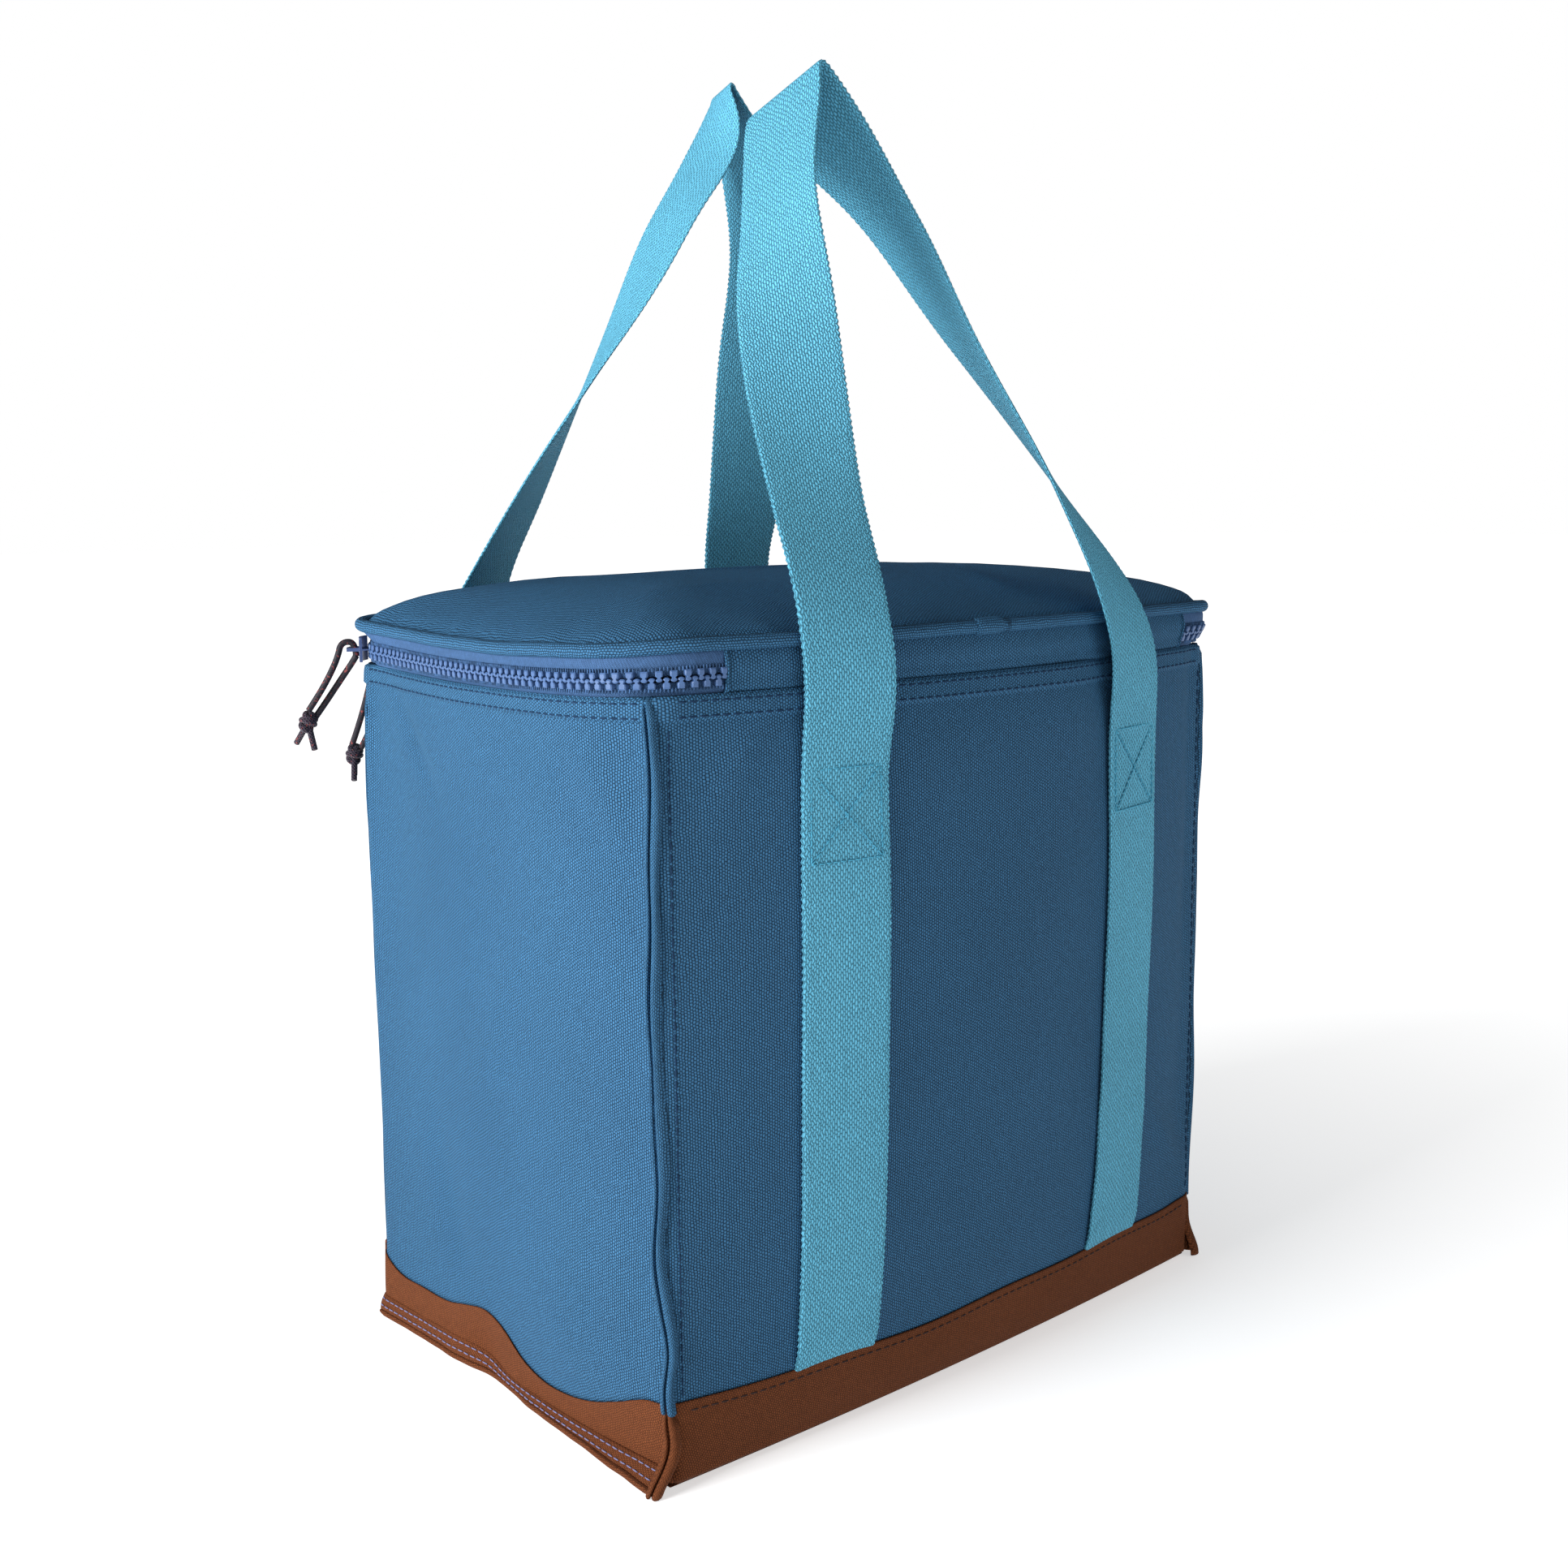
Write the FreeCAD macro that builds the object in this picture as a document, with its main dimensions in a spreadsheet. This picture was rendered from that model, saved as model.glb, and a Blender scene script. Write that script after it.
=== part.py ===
"""Insulated cooler bag: box body, hinged zip lid, two webbing handles and two cord zip pulls.

Millimetres. The origin is the centre of the footprint on the floor, +Z is up and X runs along the
long sides. The lid's fabric hinge is on the -Y side and the zip sliders rest at the back left corner.
"""
import FreeCAD, Part
import Sketcher
import math
import os
import re

SIZES = {
    "body_length": 300,
    "body_depth": 200,
    "body_height": 280,
    "side_bulge": 18,
    "corner_radius": 20,
    "fabric": 1,
    "foam": 5,
    "liner": 0.5,
    "ply_gap": 0.3,
    "band_height": 30,
    "base_board": 2,
    "ridge_length": 6,
    "ridge_width": 2.4,
    "ridge_top": 268,
    "end_seam_height": 11,
    "end_seam_width": 2,
    "webbing_width": 38,
    "webbing": 1.6,
    "strap_centre": 79,
    "strap_top": 254.5,
    "handle_start": 259.5,
    "handle_peak": 506,
    "handle_peak_inset": 18.5,
    "rim_height": 15,
    "zip_level": 285.8,
    "zip_end": 124,
    "tape": 0.8,
    "tape_inset": 0.6,
    "tape_slit": 0.6,
    "teeth_slit": 0.7,
    "teeth_height": 3.1,
    "teeth_proud": 1.6,
    "piping_height": 4.4,
    "piping_inner": 2.8,
    "piping_round": 1.6,
    "lid_crown": 16,
    "slider_plate": 1,
    "slider_half": 5,
    "slider_length": 13,
    "bail_reach": 7.3,
    "bail_bar": 0.7,
    "cord": 2.6,
    "knot": 8.6,
    "tail_length": 12,
}

doc = FreeCAD.newDocument("cooler_bag")
sheet = doc.addObject("Spreadsheet::Sheet", "size")
for line_number, (alias, number) in enumerate(SIZES.items(), start=1):
    sheet.set("A%d" % line_number, str(number))
    sheet.setAlias("A%d" % line_number, alias)
doc.recompute()

made = []


# Formulas. A name in braces is a cell of the sheet.
def formula(text):
    """The text as an expression on the sheet's cells."""
    return re.sub(r"\{(\w+)\}", r"<<size>>.\1", str(text))


def value(text):
    """What a formula comes to, in millimetres."""
    return float(sheet.evalExpression(formula(text)))


# The long sides are arcs that bulge by side_bulge between the corners, all about one centre.
LONG_RADIUS = "({body_length} ^ 2 / (8 * {side_bulge}) + {side_bulge} / 2)"
LONG_CENTRE = "({body_depth} / 2 + {side_bulge} - %s)" % LONG_RADIUS
HALF = "{body_length} / 2"
FOAM_OUT = "(0 - {fabric} - {ply_gap})"
FOAM_IN = "(%s - {foam})" % FOAM_OUT
LINER_OUT = "(%s - {ply_gap})" % FOAM_IN
LINER_IN = "(%s - {liner})" % LINER_OUT
TAPE_OUT = "(0 - {tape_inset})"
TAPE_IN = "(0 - {tape_inset} - {tape})"
FLOOR_TOP = "({fabric} + {ply_gap})"
BOARD_TOP = "(%s + {base_board})" % FLOOR_TOP
BASE_FOAM_LOW = "(%s + {ply_gap})" % BOARD_TOP
LINER_FLOOR = "(%s + {foam} + {ply_gap})" % BASE_FOAM_LOW
RIM_TOP = "({body_height} + {rim_height})"


def long_side(x, offset, side):
    """Y of the long side's arc at x, moved outward by offset. side is 1 at the back, -1 in front."""
    return "%d * (%s + sqrt((%s + %s) ^ 2 - (%s) ^ 2))" % (side, LONG_CENTRE, LONG_RADIUS, offset, x)


# Sketches and features
def new_body(label):
    """An empty body that becomes the sub-part of that name."""
    body = doc.addObject("PartDesign::Body", label)
    body.Label = label
    made.append(body)
    return body


def new_sketch(body, name, height="0", role="XY_Plane"):
    """A sketch on one of the body's own planes, lifted off it by height."""
    sketch = body.newObject("Sketcher::SketchObject", body.Label + "_" + name)
    plane = [feature for feature in body.Origin.OriginFeatures if feature.Role == role][0]
    sketch.AttachmentSupport = [(plane, "")]
    sketch.MapMode = "FlatFace"
    sketch.setExpression("AttachmentOffset.Base.z", formula(height))
    return sketch


def add_loop(sketch, points, arcs=None):
    """A closed loop through points, each a pair of formulas. arcs maps an edge's number to its radius
    and centre; the other edges are straight."""
    arcs = arcs or {}
    spots = [FreeCAD.Vector(value(x), value(y), 0) for x, y in points]
    first = len(sketch.Geometry)
    ends = []
    for edge, start in enumerate(spots):
        stop = spots[(edge + 1) % len(spots)]
        if edge not in arcs:
            sketch.addGeometry(Part.LineSegment(start, stop), False)
            ends.append((1, 2))
            continue
        radius, centre_x, centre_y = arcs[edge]
        centre = FreeCAD.Vector(value(centre_x), value(centre_y), 0)
        circle = Part.Circle(centre, FreeCAD.Vector(0, 0, 1), value(radius))
        begin = math.atan2(start.y - centre.y, start.x - centre.x)
        end = math.atan2(stop.y - centre.y, stop.x - centre.x)
        turn = (end - begin) % (2 * math.pi)
        if turn < math.pi:
            sketch.addGeometry(Part.ArcOfCircle(circle, begin, begin + turn), False)
            ends.append((1, 2))
        else:
            sketch.addGeometry(Part.ArcOfCircle(circle, end, end + 2 * math.pi - turn), False)
            ends.append((2, 1))
    for edge, (x, y) in enumerate(points):
        following = (edge + 1) % len(points)
        joined = ("Coincident", first + edge, ends[edge][1], first + following, ends[following][0])
        sketch.addConstraint(Sketcher.Constraint(*joined))
        for kind, place in (("DistanceX", x), ("DistanceY", y)):
            fixed = Sketcher.Constraint(kind, -1, 1, first + edge, ends[edge][0], value(place))
            number = sketch.addConstraint(fixed)
            sketch.setExpression("Constraints[%d]" % number, formula(place))
        if edge in arcs:
            radius = arcs[edge][0]
            number = sketch.addConstraint(Sketcher.Constraint("Radius", first + edge, value(radius)))
            sketch.setExpression("Constraints[%d]" % number, formula(radius))


def pad(body, sketch, length):
    """Pads a sketch upward by length."""
    feature = body.newObject("PartDesign::Pad", sketch.Label + "_pad")
    feature.Profile = sketch
    feature.setExpression("Length", formula(length))
    body.Tip = feature
    return feature


def pocket_up(body, sketch, length):
    """Cuts a sketch out of the body, upward from the sketch's plane."""
    feature = body.newObject("PartDesign::Pocket", sketch.Label + "_pocket")
    feature.Profile = sketch
    feature.Reversed = True
    feature.setExpression("Length", formula(length))
    body.Tip = feature
    return feature


def turn_sketch(body, kind, sketch, degrees):
    """Revolution or Groove of a sketch about the body's vertical axis, half each way."""
    feature = body.newObject("PartDesign::" + kind, sketch.Label + "_turn")
    feature.Profile = sketch
    axis = [item for item in body.Origin.OriginFeatures if item.Role == "Z_Axis"][0]
    feature.ReferenceAxis = (axis, [""])
    feature.Midplane = True
    feature.setExpression("Angle", formula(degrees))
    body.Tip = feature
    return feature


def rectangle(x_low, x_high, y_low, y_high):
    """The four corners of an upright rectangle."""
    return [(x_low, y_low), (x_high, y_low), (x_high, y_high), (x_low, y_high)]


def slab_loop(x_low, x_high, inner, outer, side):
    """Points and arcs of a slice of the long side between two offsets from its arc."""
    points = [
        (x_low, long_side(x_low, outer, side)),
        (x_high, long_side(x_high, outer, side)),
        (x_high, long_side(x_high, inner, side)),
        (x_low, long_side(x_low, inner, side)),
    ]
    centre = "%d * %s" % (side, LONG_CENTRE)
    arcs = {
        0: ("%s + %s" % (LONG_RADIUS, outer), "0", centre),
        2: ("%s + %s" % (LONG_RADIUS, inner), "0", centre),
    }
    return points, arcs


def rim_loop(offset, corner):
    """Points and arcs of the round-cornered plan of the bag's rim, moved outward by offset."""
    radius = "(%s + %s)" % (LONG_RADIUS, offset)
    corner_x = "(%s + %s - %s)" % (HALF, offset, corner)
    reach = "sqrt((%s - %s) ^ 2 - %s ^ 2)" % (radius, corner, corner_x)
    corner_y = "(%s + %s)" % (LONG_CENTRE, reach)
    scale = "%s / (%s - %s)" % (radius, radius, corner)
    tangent_x = "(%s * %s)" % (corner_x, scale)
    tangent_y = "(%s + %s * %s)" % (LONG_CENTRE, reach, scale)
    end_x = "(%s + %s)" % (HALF, offset)
    minus = "-1 * "
    points = [
        (minus + tangent_x, minus + tangent_y),
        (tangent_x, minus + tangent_y),
        (end_x, minus + corner_y),
        (end_x, corner_y),
        (tangent_x, tangent_y),
        (minus + tangent_x, tangent_y),
        (minus + end_x, corner_y),
        (minus + end_x, minus + corner_y),
    ]
    arcs = {
        0: (radius, "0", minus + LONG_CENTRE),
        1: (corner, corner_x, minus + corner_y),
        3: (corner, corner_x, corner_y),
        4: (radius, "0", LONG_CENTRE),
        5: (corner, minus + corner_x, corner_y),
        7: (corner, minus + corner_x, minus + corner_y),
    }
    return points, arcs


def rim_offset(offset):
    """The rim's plan with every corner about the same four centres."""
    return rim_loop(offset, "({corner_radius} + %s)" % offset)


# Walls of the body
def long_slab(label, side, reach, inner, outer, low, high):
    """A piece of a long side from -reach to reach in x, between two offsets and two heights."""
    return strip_slab(label, side, "-1 * (%s)" % reach, reach, inner, outer, low, high)


def strip_slab(label, side, x_low, x_high, inner, outer, low, high):
    """A piece of a long side between two places in x, two offsets and two heights."""
    body = new_body(label)
    sketch = new_sketch(body, "plan", low)
    add_loop(sketch, *slab_loop(x_low, x_high, inner, outer, side))
    pad(body, sketch, "%s - %s" % (high, low))
    return body


def end_slab(label, side, reach, inner, outer, low, high):
    """A flat piece of an end wall. side is 1 at +X and -1 at -X."""
    body = new_body(label)
    sketch = new_sketch(body, "plan", low)
    faces = sorted(["%d * (%s + %s)" % (side, HALF, offset) for offset in (inner, outer)], key=value)
    add_loop(sketch, rectangle(faces[0], faces[1], "-1 * (%s)" % reach, reach))
    pad(body, sketch, "%s - %s" % (high, low))
    return body


def add_corner_ridges(body, side, low, high):
    """The turned-out seam allowances at both corners of an end wall, standing out diagonally."""
    slant = "{ridge_length} * sqrt(0.5)"
    half_width = "{ridge_width} / 2 * sqrt(0.5)"
    sketch = new_sketch(body, "ridges", low)
    for y_side in (-1, 1):
        root_x = "%s - {fabric} / 2" % HALF
        root_y = "{body_depth} / 2 - 2 * {fabric}"
        corners = []
        for along, across in ((0, 1), (1, 1), (1, -1), (0, -1)):
            x = "%d * (%s + %d * %s + %d * %s)" % (side, root_x, along, slant, across, half_width)
            y = "%d * (%s + %d * %s - %d * %s)" % (y_side, root_y, along, slant, across, half_width)
            corners.append((x, y))
        add_loop(sketch, corners)
    pad(body, sketch, "%s - %s" % (high, low))


SHELL_REACH = "(%s - 2 * {fabric})" % HALF
END_REACH = "({body_depth} / 2 - 2.3 * {fabric})"
FOAM_HIGH = "({body_height} - 2)"
PANEL_SPAN = ("{band_height}", "{body_height}")
BAND_SPAN = ("{ply_gap}", "{band_height}")
FOAM_REACH = "(%s + %s - {ply_gap})" % (HALF, FOAM_IN)
for side_name, long_sign in (("front", -1), ("back", 1)):
    long_slab(side_name + "_panel", long_sign, SHELL_REACH, "-{fabric}", "0", *PANEL_SPAN)
    long_slab(side_name + "_foam", long_sign, FOAM_REACH, FOAM_IN, FOAM_OUT, FLOOR_TOP, FOAM_HIGH)
for side_name, end_sign in (("left", -1), ("right", 1)):
    panel = end_slab(side_name + "_panel", end_sign, END_REACH, "-{fabric}", "0", *PANEL_SPAN)
    add_corner_ridges(panel, end_sign, "{band_height}", "{ridge_top}")
    band = end_slab(side_name + "_band", end_sign, END_REACH, "-{fabric}", "0", *BAND_SPAN)
    add_corner_ridges(band, end_sign, *BAND_SPAN)
    end_slab(side_name + "_base_seam", end_sign, "({body_depth} / 2 - {ridge_length})",
             "0", "{end_seam_width}", "{ply_gap}", "{end_seam_height}")
    end_slab(side_name + "_foam", end_sign, "({body_depth} / 2 - 2 * {fabric})", FOAM_IN, FOAM_OUT,
             FLOOR_TOP, FOAM_HIGH)

base_wrap = new_body("base_wrap")
base_plan = new_sketch(base_wrap, "plan")
WRAP_REACH = "(%s - 1.9 * {fabric})" % HALF
CORNER_SIGNS = ((-1, -1), (1, -1), (1, 1), (-1, 1))
wrap_points = []
for x_sign, y_sign in CORNER_SIGNS:
    wrap_points.append(("%d * %s" % (x_sign, WRAP_REACH), long_side(WRAP_REACH, "0", y_sign)))
add_loop(base_plan, wrap_points, {
    0: (LONG_RADIUS, "0", "-1 * " + LONG_CENTRE),
    2: (LONG_RADIUS, "0", LONG_CENTRE),
})
pad(base_wrap, base_plan, "{band_height}")
doc.recompute()
solid_volume = base_wrap.Shape.Volume
hollow_plan = new_sketch(base_wrap, "hollow", "{fabric}")
HOLLOW_REACH = "(%s + 5)" % HALF
hollow_points = []
for x_sign, y_sign in CORNER_SIGNS:
    hollow_points.append(("%d * %s" % (x_sign, HOLLOW_REACH), long_side(HOLLOW_REACH, "-{fabric}", y_sign)))
add_loop(hollow_plan, hollow_points, {
    0: ("%s - {fabric}" % LONG_RADIUS, "0", "-1 * " + LONG_CENTRE),
    2: ("%s - {fabric}" % LONG_RADIUS, "0", LONG_CENTRE),
})
pocket_up(base_wrap, hollow_plan, "{band_height}")
doc.recompute()
if base_wrap.Shape.Volume > solid_volume / 2:
    raise RuntimeError("the base wrap was not hollowed")


# Closed plates and rings that follow the rim's plan
def plate(label, offset, low, thickness):
    """A flat sheet of the rim's plan."""
    body = new_body(label)
    sketch = new_sketch(body, "plan", low)
    add_loop(sketch, *rim_offset(offset))
    pad(body, sketch, thickness)
    return body


def ring(label, inner, outer, low, high, open_front=True):
    """A wall along the rim between two offsets, left open in front between the zip's ends."""
    body = new_body(label)
    sketch = new_sketch(body, "plan", low)
    add_loop(sketch, *rim_offset(outer))
    add_loop(sketch, *rim_offset(inner))
    pad(body, sketch, "%s - %s" % (high, low))
    if open_front:
        gap = new_sketch(body, "gap", low)
        add_loop(gap, rectangle("-{zip_end}", "{zip_end}", "-{body_depth}", "-{body_depth} / 4"))
        pocket_up(body, gap, "%s - %s" % (high, low))
    return body


plate("base_board", LINER_OUT, FLOOR_TOP, "{base_board}")
plate("base_foam", LINER_OUT, BASE_FOAM_LOW, "{foam}")
plate("liner_floor", "(%s - {ply_gap})" % LINER_IN, LINER_FLOOR, "{liner}")
ring("liner_walls", LINER_IN, LINER_OUT, LINER_FLOOR, "({body_height} - 3)", open_front=False)

SLIT_LOW = "({zip_level} - {tape_slit})"
SLIT_HIGH = "({zip_level} + {tape_slit})"
LOWER_TEETH_LOW = "({zip_level} - {teeth_height})"
LOWER_TEETH_HIGH = "({zip_level} - {teeth_slit})"
UPPER_TEETH_LOW = "({zip_level} + {teeth_slit})"
UPPER_TEETH_HIGH = "({zip_level} + {teeth_height})"
ring("lower_zip_tape", TAPE_IN, TAPE_OUT, "{body_height}", SLIT_LOW)
ring("lower_zip_teeth", TAPE_OUT, "{teeth_proud}", LOWER_TEETH_LOW, LOWER_TEETH_HIGH)
ring("upper_zip_tape", TAPE_IN, TAPE_OUT, SLIT_HIGH, RIM_TOP)
ring("upper_zip_teeth", TAPE_OUT, "{teeth_proud}", UPPER_TEETH_LOW, UPPER_TEETH_HIGH)
HINGE_REACH = "({zip_end} - {ply_gap})"
long_slab("lower_hinge_strip", -1, HINGE_REACH, TAPE_IN, TAPE_OUT, "{body_height}", SLIT_LOW)
long_slab("upper_hinge_strip", -1, HINGE_REACH, TAPE_IN, TAPE_OUT, SLIT_HIGH, RIM_TOP)

# Lid
ring("lid_piping", "(0 - {piping_inner})", "{piping_round}", RIM_TOP, "(%s + {piping_height})" % RIM_TOP,
     open_front=False)
plate("lid_liner", "(0 - {piping_inner} - 2.2)", RIM_TOP, "{liner}")

# Each level of the crowned lid: how far in from the piping, and the share of the crown's height.
LID_LEVELS = ((0, -0.25), (4, 0.2), (19, 0.55), (45, 0.85), (71, 1))


def dome(body, name, kind, inset, drop, lowest):
    """A loft over the lid's levels, moved in by inset and down by drop, with a flat bottom at lowest."""
    sections = []
    for number, (inward, share) in enumerate(LID_LEVELS):
        height = "(%s + {piping_height} + %s * {lid_crown} - %s)" % (RIM_TOP, share, drop)
        if number == 0:
            height = lowest
        sketch = new_sketch(body, "%s_%d" % (name, number), height)
        corner = "({corner_radius} - 6)"
        add_loop(sketch, *rim_loop("(0 - {piping_inner} - %s - %s)" % (inward, inset), corner))
        sections.append(sketch)
    loft = body.newObject("PartDesign::" + kind, "%s_%s" % (body.Label, name))
    loft.Profile = sections[0]
    loft.Sections = sections[1:]
    loft.Ruled = True
    body.Tip = loft
    return loft


lid_top_panel = new_body("lid_top_panel")
dome(lid_top_panel, "outside", "AdditiveLoft", "{ply_gap}", "0", RIM_TOP)
doc.recompute()
solid_volume = lid_top_panel.Shape.Volume
dome(lid_top_panel, "inside", "SubtractiveLoft", "({ply_gap} + {fabric})", "{fabric}", "(%s - 1)" % RIM_TOP)
doc.recompute()
if lid_top_panel.Shape.Volume > solid_volume / 2:
    raise RuntimeError("the lid panel was not hollowed")
lid_foam = new_body("lid_foam")
dome(lid_foam, "core", "AdditiveLoft", "({ply_gap} + 2.6 * {fabric})", "1.6 * {fabric}",
     "(%s + {liner} + {ply_gap})" % RIM_TOP)

# Webbing sewn to the long sides, from the brown band to just under the handles
STRAP_LOW = "({strap_centre} - {webbing_width} / 2)"
STRAP_HIGH = "({strap_centre} + {webbing_width} / 2)"
for side_name, long_sign in (("front", -1), ("back", 1)):
    strip_slab(side_name + "_left_strap", long_sign, "-1 * " + STRAP_HIGH, "-1 * " + STRAP_LOW,
               "0", "{webbing}", "{band_height}", "{strap_top}")
    strip_slab(side_name + "_right_strap", long_sign, STRAP_LOW, STRAP_HIGH,
               "0", "{webbing}", "{band_height}", "{strap_top}")

# Handles. Each leg rises from its strap, bows out past the rim and twists by a quarter turn on its
# way in, so that at the peak the webbing lies across the bag, folded over in a sharp crease.
# Stations up the left leg in front: x as a share of strap_centre, how far out of the long side, the
# share of the rise to the peak, and the webbing's turn about the vertical in degrees.
LEG_STATIONS = (
    (1.00, 0.9, 0.00, 7),
    (0.99, 5.0, 0.10, 8),
    (0.97, 5.5, 0.19, 12),
    (0.85, -7, 0.35, 26),
    (0.64, -31, 0.58, 42),
    (0.36, -63, 0.81, 60),
)
CREASE_RISE = 29
size = {alias: value("{%s}" % alias) for alias in SIZES}


def webbing_section(centre, across, along):
    """A closed wire: the webbing's cross-section at centre, square to the direction along."""
    across = across.normalize()
    through = along.cross(across).normalize() * (size["webbing"] / 2)
    across = across * (size["webbing_width"] / 2)
    corners = [centre + across + through, centre - across + through,
               centre - across - through, centre + across - through]
    return Part.makePolygon(corners + corners[:1])


def handle_leg():
    """The left leg of the front handle, up to the crease in the plane x = 0."""
    rise = size["handle_peak"] - size["handle_start"]
    outside = value(long_side("{strap_centre}", "0", -1)) - size["webbing"] / 2
    centres = []
    turns = []
    for share_x, out, share_z, turn in LEG_STATIONS:
        height = size["handle_start"] + share_z * rise
        centres.append(FreeCAD.Vector(-share_x * size["strap_centre"], outside - out, height))
        turns.append(math.radians(turn))
    peak = FreeCAD.Vector(0, -size["handle_peak_inset"], size["handle_peak"])
    sections = []
    for number, centre in enumerate(centres):
        ahead = (centres + [peak])[number + 1] - centre
        behind = centre - centres[number - 1] if number else FreeCAD.Vector(0, 0, 1)
        along = ahead.normalize() + behind.normalize()
        if number == 0:
            along = FreeCAD.Vector(0, 0, 1)
        across = FreeCAD.Vector(math.cos(turns[number]), -math.sin(turns[number]), 0)
        across = across - along * (across.dot(along) / along.dot(along))
        sections.append(webbing_section(centre, across, along))
    crease = math.radians(CREASE_RISE)
    across = FreeCAD.Vector(0, -math.cos(crease), math.sin(crease))
    sections.append(webbing_section(peak, across, FreeCAD.Vector(1, 0, 0)))
    return Part.makeLoft(sections, True, True)


left_leg = handle_leg()
loop = left_leg.fuse(left_leg.mirror(FreeCAD.Vector(), FreeCAD.Vector(1, 0, 0))).removeSplitter()
for side_name in ("front", "back"):
    handle = doc.addObject("Part::Feature", side_name + "_handle")
    handle.Label = side_name + "_handle"
    handle.Shape = loop if side_name == "front" else loop.mirror(FreeCAD.Vector(), FreeCAD.Vector(0, 1, 0))
    handle.Placement = FreeCAD.Placement()
    made.append(handle)


# Zip sliders. Each is turned about the centre of the arc of rim that it runs on.
def slider(label, radius, centre, angle):
    """Two plates joined through the slit, and a bail for the cord. angle is in degrees from +X."""
    body = new_body(label)
    front = "({teeth_proud} + 0.4)"
    back = "(0 - {tape_inset} - {tape} - 0.8)"
    depth = {
        "front_in": "%s + %s" % (radius, front),
        "front_out": "%s + %s + {slider_plate}" % (radius, front),
        "back_in": "%s + %s - {slider_plate}" % (radius, back),
        "back_out": "%s + %s" % (radius, back),
    }
    bridge = "({tape_slit} / 2)"
    outline = [
        (depth["back_in"], "-{slider_half}"), (depth["back_out"], "-{slider_half}"),
        (depth["back_out"], "-1 * " + bridge), (depth["front_in"], "-1 * " + bridge),
        (depth["front_in"], "-{slider_half}"), (depth["front_out"], "-{slider_half}"),
        (depth["front_out"], "{slider_half}"), (depth["front_in"], "{slider_half}"),
        (depth["front_in"], bridge), (depth["back_out"], bridge),
        (depth["back_out"], "{slider_half}"), (depth["back_in"], "{slider_half}"),
    ]
    plates = new_sketch(body, "plates", role="XZ_Plane")
    add_loop(plates, outline)
    sweep = "{slider_length} / (%s) * 180 / pi" % radius
    turn_sketch(body, "Revolution", plates, sweep)
    bail_out = "%s + {bail_reach} + {bail_bar}" % radius
    bail = new_sketch(body, "bail", role="XZ_Plane")
    overlap = "%s - {slider_plate} / 2" % depth["front_out"]
    add_loop(bail, rectangle(overlap, bail_out, "-{bail_bar}", "{bail_bar}"))
    turn_sketch(body, "Revolution", bail, "%s * 0.7" % sweep)
    window = new_sketch(body, "window", role="XZ_Plane")
    window_out = "%s + {bail_reach} - {bail_bar}" % radius
    add_loop(window, rectangle(depth["front_out"], window_out, "-2 * {bail_bar}", "2 * {bail_bar}"))
    turn_sketch(body, "Groove", window, "%s * 0.5" % sweep)
    body.Placement = FreeCAD.Placement(
        FreeCAD.Vector(centre[0], centre[1], size["zip_level"]),
        FreeCAD.Rotation(FreeCAD.Vector(0, 0, 1), angle),
    )
    return body


CORNER_SLIDER_ANGLE = 180 - 38
BACK_SLIDER_X = -127
corner_x = size["body_length"] / 2 - size["corner_radius"]
long_radius = value(LONG_RADIUS)
long_centre = value(LONG_CENTRE)
corner_y = long_centre + math.sqrt((long_radius - size["corner_radius"]) ** 2 - corner_x ** 2)
back_bar_radius = long_radius + size["bail_reach"]
back_slider_angle = 90 + math.degrees(math.asin(-BACK_SLIDER_X / back_bar_radius))
slider("corner_slider", "{corner_radius}", (-corner_x, corner_y), CORNER_SLIDER_ANGLE)
slider("back_slider", LONG_RADIUS, (0, long_centre), back_slider_angle)


# Cord pulls. A strand's route is in the slider's own directions, from the centre of the bail's bar:
# outward, upward, and along the zip. The front strand loops over the bar.
FRONT_STRAND = {
    "corner": ((-2.7, -2.9, 0), (-2.7, 2.9, 0), (3.1, 2.9, 0.3), (4.6, -3.4, 0.9), (8.2, -10.9, 1.7),
               (12.6, -18.2, 1.6), (17.2, -24.8, 1.4)),
    "back": ((-2.7, -2.9, 0), (-2.7, 2.9, 0), (3.1, 2.9, 0.3), (5.2, -3.6, 1.0), (9.0, -13.4, 1.8),
             (13.6, -26.0, 2.3), (20.0, -37.8, 1.8), (24.2, -44.4, 1.4)),
}
REAR_STRAND = {
    "corner": ((-2.7, -2.9, 0), (-1.2, -5.3, -0.4), (2.5, -10.3, -1.4), (7.1, -16.7, -1.9),
               (11.5, -23.0, -1.5), (14.9, -27.6, -1.3)),
    "back": ((-2.7, -2.9, 0), (-2.3, -7.4, -0.4), (1.6, -15.4, -1.6), (7.8, -24.6, -2.3),
             (14.8, -36.4, -1.8), (21.4, -45.6, -1.3)),
}
KNOTS = {"corner": (17.9, -29.6, 0), "back": (24.6, -48.6, 0)}
TAILS = {
    "corner": ((-0.2, -0.95, 0.25), (0.5, -0.8, -0.35)),
    "back": ((-0.25, -0.9, 0.3), (0.4, -0.85, -0.3)),
}


def slider_frame(centre, radius, angle):
    """A function from outward, upward and along-the-zip distances to a point of the bag."""
    turn = math.radians(angle)
    outward = FreeCAD.Vector(math.cos(turn), math.sin(turn), 0)
    along = FreeCAD.Vector(-math.sin(turn), math.cos(turn), 0)
    bar = FreeCAD.Vector(centre[0], centre[1], size["zip_level"]) + outward * (radius + size["bail_reach"])

    def place(spot):
        return bar + outward * spot[0] + FreeCAD.Vector(0, 0, spot[1]) + along * spot[2]

    return place


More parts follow.
